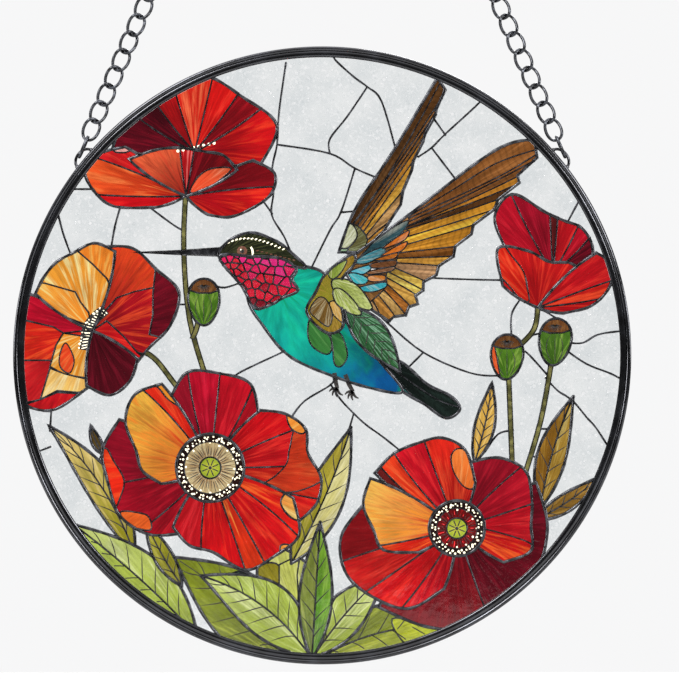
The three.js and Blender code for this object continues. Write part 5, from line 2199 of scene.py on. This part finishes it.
@dataclass
class Hanger:
    """The two loops on the rim, the two chains and the ring."""

    lift: float
    ring_height: float
    rim_radius: float = 150.0
    angle: float = 50.4
    loop_wire: float = 1.4
    loop_span: float = 12.0
    loop_stand: float = 4.6
    loop_sink: float = 0.3
    loop_steps: int = 24
    loop_sides: int = 16
    foot_height: float = 1.7
    foot_sink: float = 0.9
    foot_sides: int = 18
    link_wire: float = 1.5
    link_length: float = 11.6
    link_width: float = 9.0
    link_twist: float = 1.25
    link_squareness: float = 0.86
    link_steps: int = 28
    link_sides: int = 10
    end_narrowing: float = 0.62
    links: int = 32
    slack: float = 0.3
    ring_diameter: float = 17.0
    ring_wire: float = 2.0
    ring_gap: float = 1.7
    ring_steps: int = 64
    ring_sides: int = 18

    def way_out(self, side: int) -> Vector:
        """The direction from the disc's centre to a loop."""
        turn = math.radians(self.angle) * side
        return Vector((math.sin(turn), 0, math.cos(turn)))

    def loop(self, side: int, name: str) -> None:
        """Makes one loop with a foot of solder at each end.

        Args:
            side: -1 for the left one, 1 for the right one.
            name: the frame's node that it stands for.
        """
        builder = MeshBuilder(self.lift)
        out = self.way_out(side)
        across = Vector((out.z, 0, -out.x))
        half = (self.loop_span - self.loop_wire) / 2
        high = self.loop_stand - self.loop_wire / 2
        path = [out * (self.rim_radius - self.loop_sink + high * math.sin(a)) + across * (half * math.cos(a))
                for a in (math.pi * k / self.loop_steps for k in range(self.loop_steps + 1))]
        path = [path[0] - out * 0.5] + path + [path[-1] - out * 0.5]
        wire(builder, path, self.loop_wire / 2, self.loop_sides, False)
        for end in (1, -1):
            foot = out * (self.rim_radius - self.foot_sink) + across * (half * end)
            rows = []
            for k in range(6):
                rise, spread = self.foot_height * k / 5, 0.72 + 1.0 * (1 - k / 5) ** 2.2
                rows.append([tuple(foot + out * rise + across * (spread * 1.25 * math.cos(t))
                                   + Vector((0, spread * math.sin(t), 0))) for t in turns(self.foot_sides)])
            builder.sweep(rows, False)
        builder.make(name + "_wire", RIM_METAL, "black_metal", True, [name])

    def chain(self, side: int, name: str) -> None:
        """Makes one chain of curb links, its end links edge-on.

        Args:
            side: -1 for the left one, 1 for the right one.
            name: the frame's node that it stands for.
        """
        start = self.way_out(side) * (self.rim_radius + self.loop_stand - self.loop_wire - 2 * self.slack)
        hang = (self.ring_diameter - self.ring_wire) / 2 - self.ring_wire / 2 - self.slack
        end = Vector((side * self.ring_gap, 0, self.ring_height - math.sqrt(hang ** 2 - self.ring_gap ** 2)))
        run = end - start
        inside = (self.link_length - 2 * self.link_wire) / 2
        pitch = (run.length - 2 * inside) / (self.links - 1)
        ahead = run.normalized()
        flat, deep = Vector((ahead.z, 0, -ahead.x)), Vector((0, 1, 0))
        half_length = pitch / 2 + self.link_wire / 2 + 0.02
        half_width = (self.link_width - self.link_wire) / 2
        builder = MeshBuilder(self.lift)
        for i in range(self.links):
            centre = start + ahead * (inside + pitch * i)
            ended = i in (0, self.links - 1)
            wide, lean = (deep, flat) if ended else (flat, deep)
            narrowed, twist = (self.end_narrowing, 0.0) if ended else (1.0, self.link_twist)
            path = []
            for a in turns(self.link_steps):
                c, s = math.cos(a), math.sin(a)
                x = half_width * math.copysign(abs(c) ** self.link_squareness, c) * narrowed
                path.append(centre + wide * x + ahead * (half_length * s) + lean * (twist * math.sin(2 * a)))
            wire(builder, path, self.link_wire / 2, self.link_sides, True)
        builder.make(name + "_links", CHAIN_METAL, "black_metal", True, [name])

    def ring(self) -> None:
        """Makes the ring at the top."""
        builder = MeshBuilder(self.lift)
        reach = (self.ring_diameter - self.ring_wire) / 2
        path = [Vector(p) for p in around((0, self.ring_height), reach, 0, self.ring_steps)]
        wire(builder, path, self.ring_wire / 2, self.ring_sides, True)
        builder.make("top_ring", CHAIN_METAL, "black_metal", True, ["hanging_ring"])

    def build(self) -> None:
        """Makes the loops, chains and ring."""
        for side, word in ((-1, "left"), (1, "right")):
            self.loop(side, f"hanging_loop_{word}")
            self.chain(side, f"chain_{word}")
        self.ring()


@dataclass
class Studio:
    """The floor, the soft light and the camera."""

    centre: float
    disc_radius: float = 0.15
    distance: float = 1.6
    view_width: float = 0.3299
    sensor: float = 36.0
    aim: Tuple[float, float] = (0.0084, 0.0077)
    floor_gap: float = 0.1
    floor_half: float = 1.6
    floor_back: float = 0.95

    def world(self) -> None:
        """Sets a plain white surround, darker where metal mirrors it."""
        world = bpy.data.worlds.new("studio")
        bpy.context.scene.world = world
        world.use_nodes = True
        nodes = Nodes(world.node_tree)
        plain = world.node_tree.nodes["Background"]
        plain.inputs["Color"].default_value = (STUDIO_WHITE, STUDIO_WHITE, STUDIO_WHITE * 1.004, 1)
        rise = nodes.add("SeparateXYZ", {0: nodes.where("Generated")}).outputs["Z"]
        mirrored = nodes.add("Background", {"Color": nodes.grey(nodes.spread(rise, 0.15, 0.9, 0.1, 2.4))})
        path = nodes.add("LightPath").outputs
        seen = nodes.maths("SUBTRACT", path["Is Glossy Ray"], path["Is Transmission Ray"], True)
        both = nodes.add("MixShader", {0: seen, 1: plain.outputs[0], 2: mirrored.outputs[0]})
        nodes.fill(world.node_tree.nodes["World Output"], {"Surface": both.outputs[0]})

    def lamp(self, name: str, place: Place, size: float, power: float) -> None:
        """Adds a soft lamp that looks at the disc.

        Args:
            name: its name.
            place: where it is, from the disc's centre.
            size: its side.
            power: its power in watts.
        """
        data = bpy.data.lights.new(name, "AREA")
        data.size, data.energy = size, power
        lamp = bpy.data.objects.new(name, data)
        lamp.location = (place[0], place[1], self.centre + place[2])
        lamp.rotation_mode = "QUATERNION"
        lamp.rotation_quaternion = (-Vector(place)).to_track_quat("-Z", "Y")
        lamp.visible_camera = False
        lamp.visible_transmission = False
        bpy.context.scene.collection.objects.link(lamp)

    def floor(self) -> None:
        """Adds a plain pale floor below the disc."""
        level = self.centre - self.disc_radius - self.floor_gap
        half, back = self.floor_half, self.floor_back
        mesh = bpy.data.meshes.new("floor")
        mesh.from_pydata([(-half, -half, level), (half, -half, level), (half, back, level),
                          (-half, back, level)],
                         [], [(0, 1, 2, 3)])
        made = bpy.data.materials.new("floor_card")
        made.use_nodes = True
        nodes = Nodes(made.node_tree)
        card = nodes.blend(nodes.noise(nodes.where(), 9.0, 3.0), (0.6, 0.6, 0.59, 1), (0.66, 0.66, 0.65, 1))
        nodes.fill(made.node_tree.nodes["Principled BSDF"], {"Base Color": card, "Roughness": 0.85})
        mesh.materials.append(made)
        floor = bpy.data.objects.new("floor", mesh)
        bpy.context.scene.collection.objects.link(floor)

    def camera(self) -> None:
        """Adds the camera, level and square to the picture."""
        data = bpy.data.cameras.new("camera")
        data.sensor_width = self.sensor
        data.lens = self.sensor * self.distance / self.view_width
        data.clip_start, data.clip_end = 0.05, 20
        camera = bpy.data.objects.new("camera", data)
        camera.location = (self.aim[0], -self.distance, self.centre + self.aim[1])
        camera.rotation_euler = (math.pi / 2, 0, 0)
        bpy.context.scene.collection.objects.link(camera)
        bpy.context.scene.camera = camera

    def build(self) -> None:
        """Sets the whole studio."""
        self.world()
        self.floor()
        self.camera()
        for name, place, size, power in (
                ("key_lamp", (-0.7, -1.1, 1.0), 0.6, 26), ("fill_lamp", (0.9, -1.2, 0.5), 0.4, 14),
                ("left_strip", (-1.5, -0.35, 0.15), 0.35, 9), ("right_strip", (1.5, -0.35, 0.15), 0.35, 9),
                ("back_lamp", (0.4, 1.1, 0.9), 0.5, 8)):
            self.lamp(name, place, size, power)
        bpy.context.scene.view_settings.view_transform = "Standard"


def middle_height(node: str) -> float:
    """The height of a frame node's middle."""
    low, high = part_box(node)
    return (low[2] + high[2]) / 2


def main() -> None:
    """Builds every sub-assembly in order."""
    logging.basicConfig(level=logging.INFO, format="%(name)s %(message)s")
    centre = middle_height("rim")
    lift = centre / MM
    Studio(centre).build()
    design = Design()
    for figures in (Foliage, Poppies, Bird, ClearField):
        figures(design).draw()
    plan = CuttingPlan(design)
    plan.solve()
    LOG.info("%d sheets, %d seams, %d joints", len(plan.sheets), len(plan.seams), len(plan.joints))
    slots = {part["node"]: part["material_slot"] for part in frame["record"]["subparts"]}
    GlassWork(plan, lift, slots).build()
    LineWork(plan, lift).build()
    PaintedDetail(plan, lift).build()
    Rim(lift).build()
    Hanger(lift, middle_height("hanging_ring") / MM - lift).build()


if __name__ == "__main__":
    main()
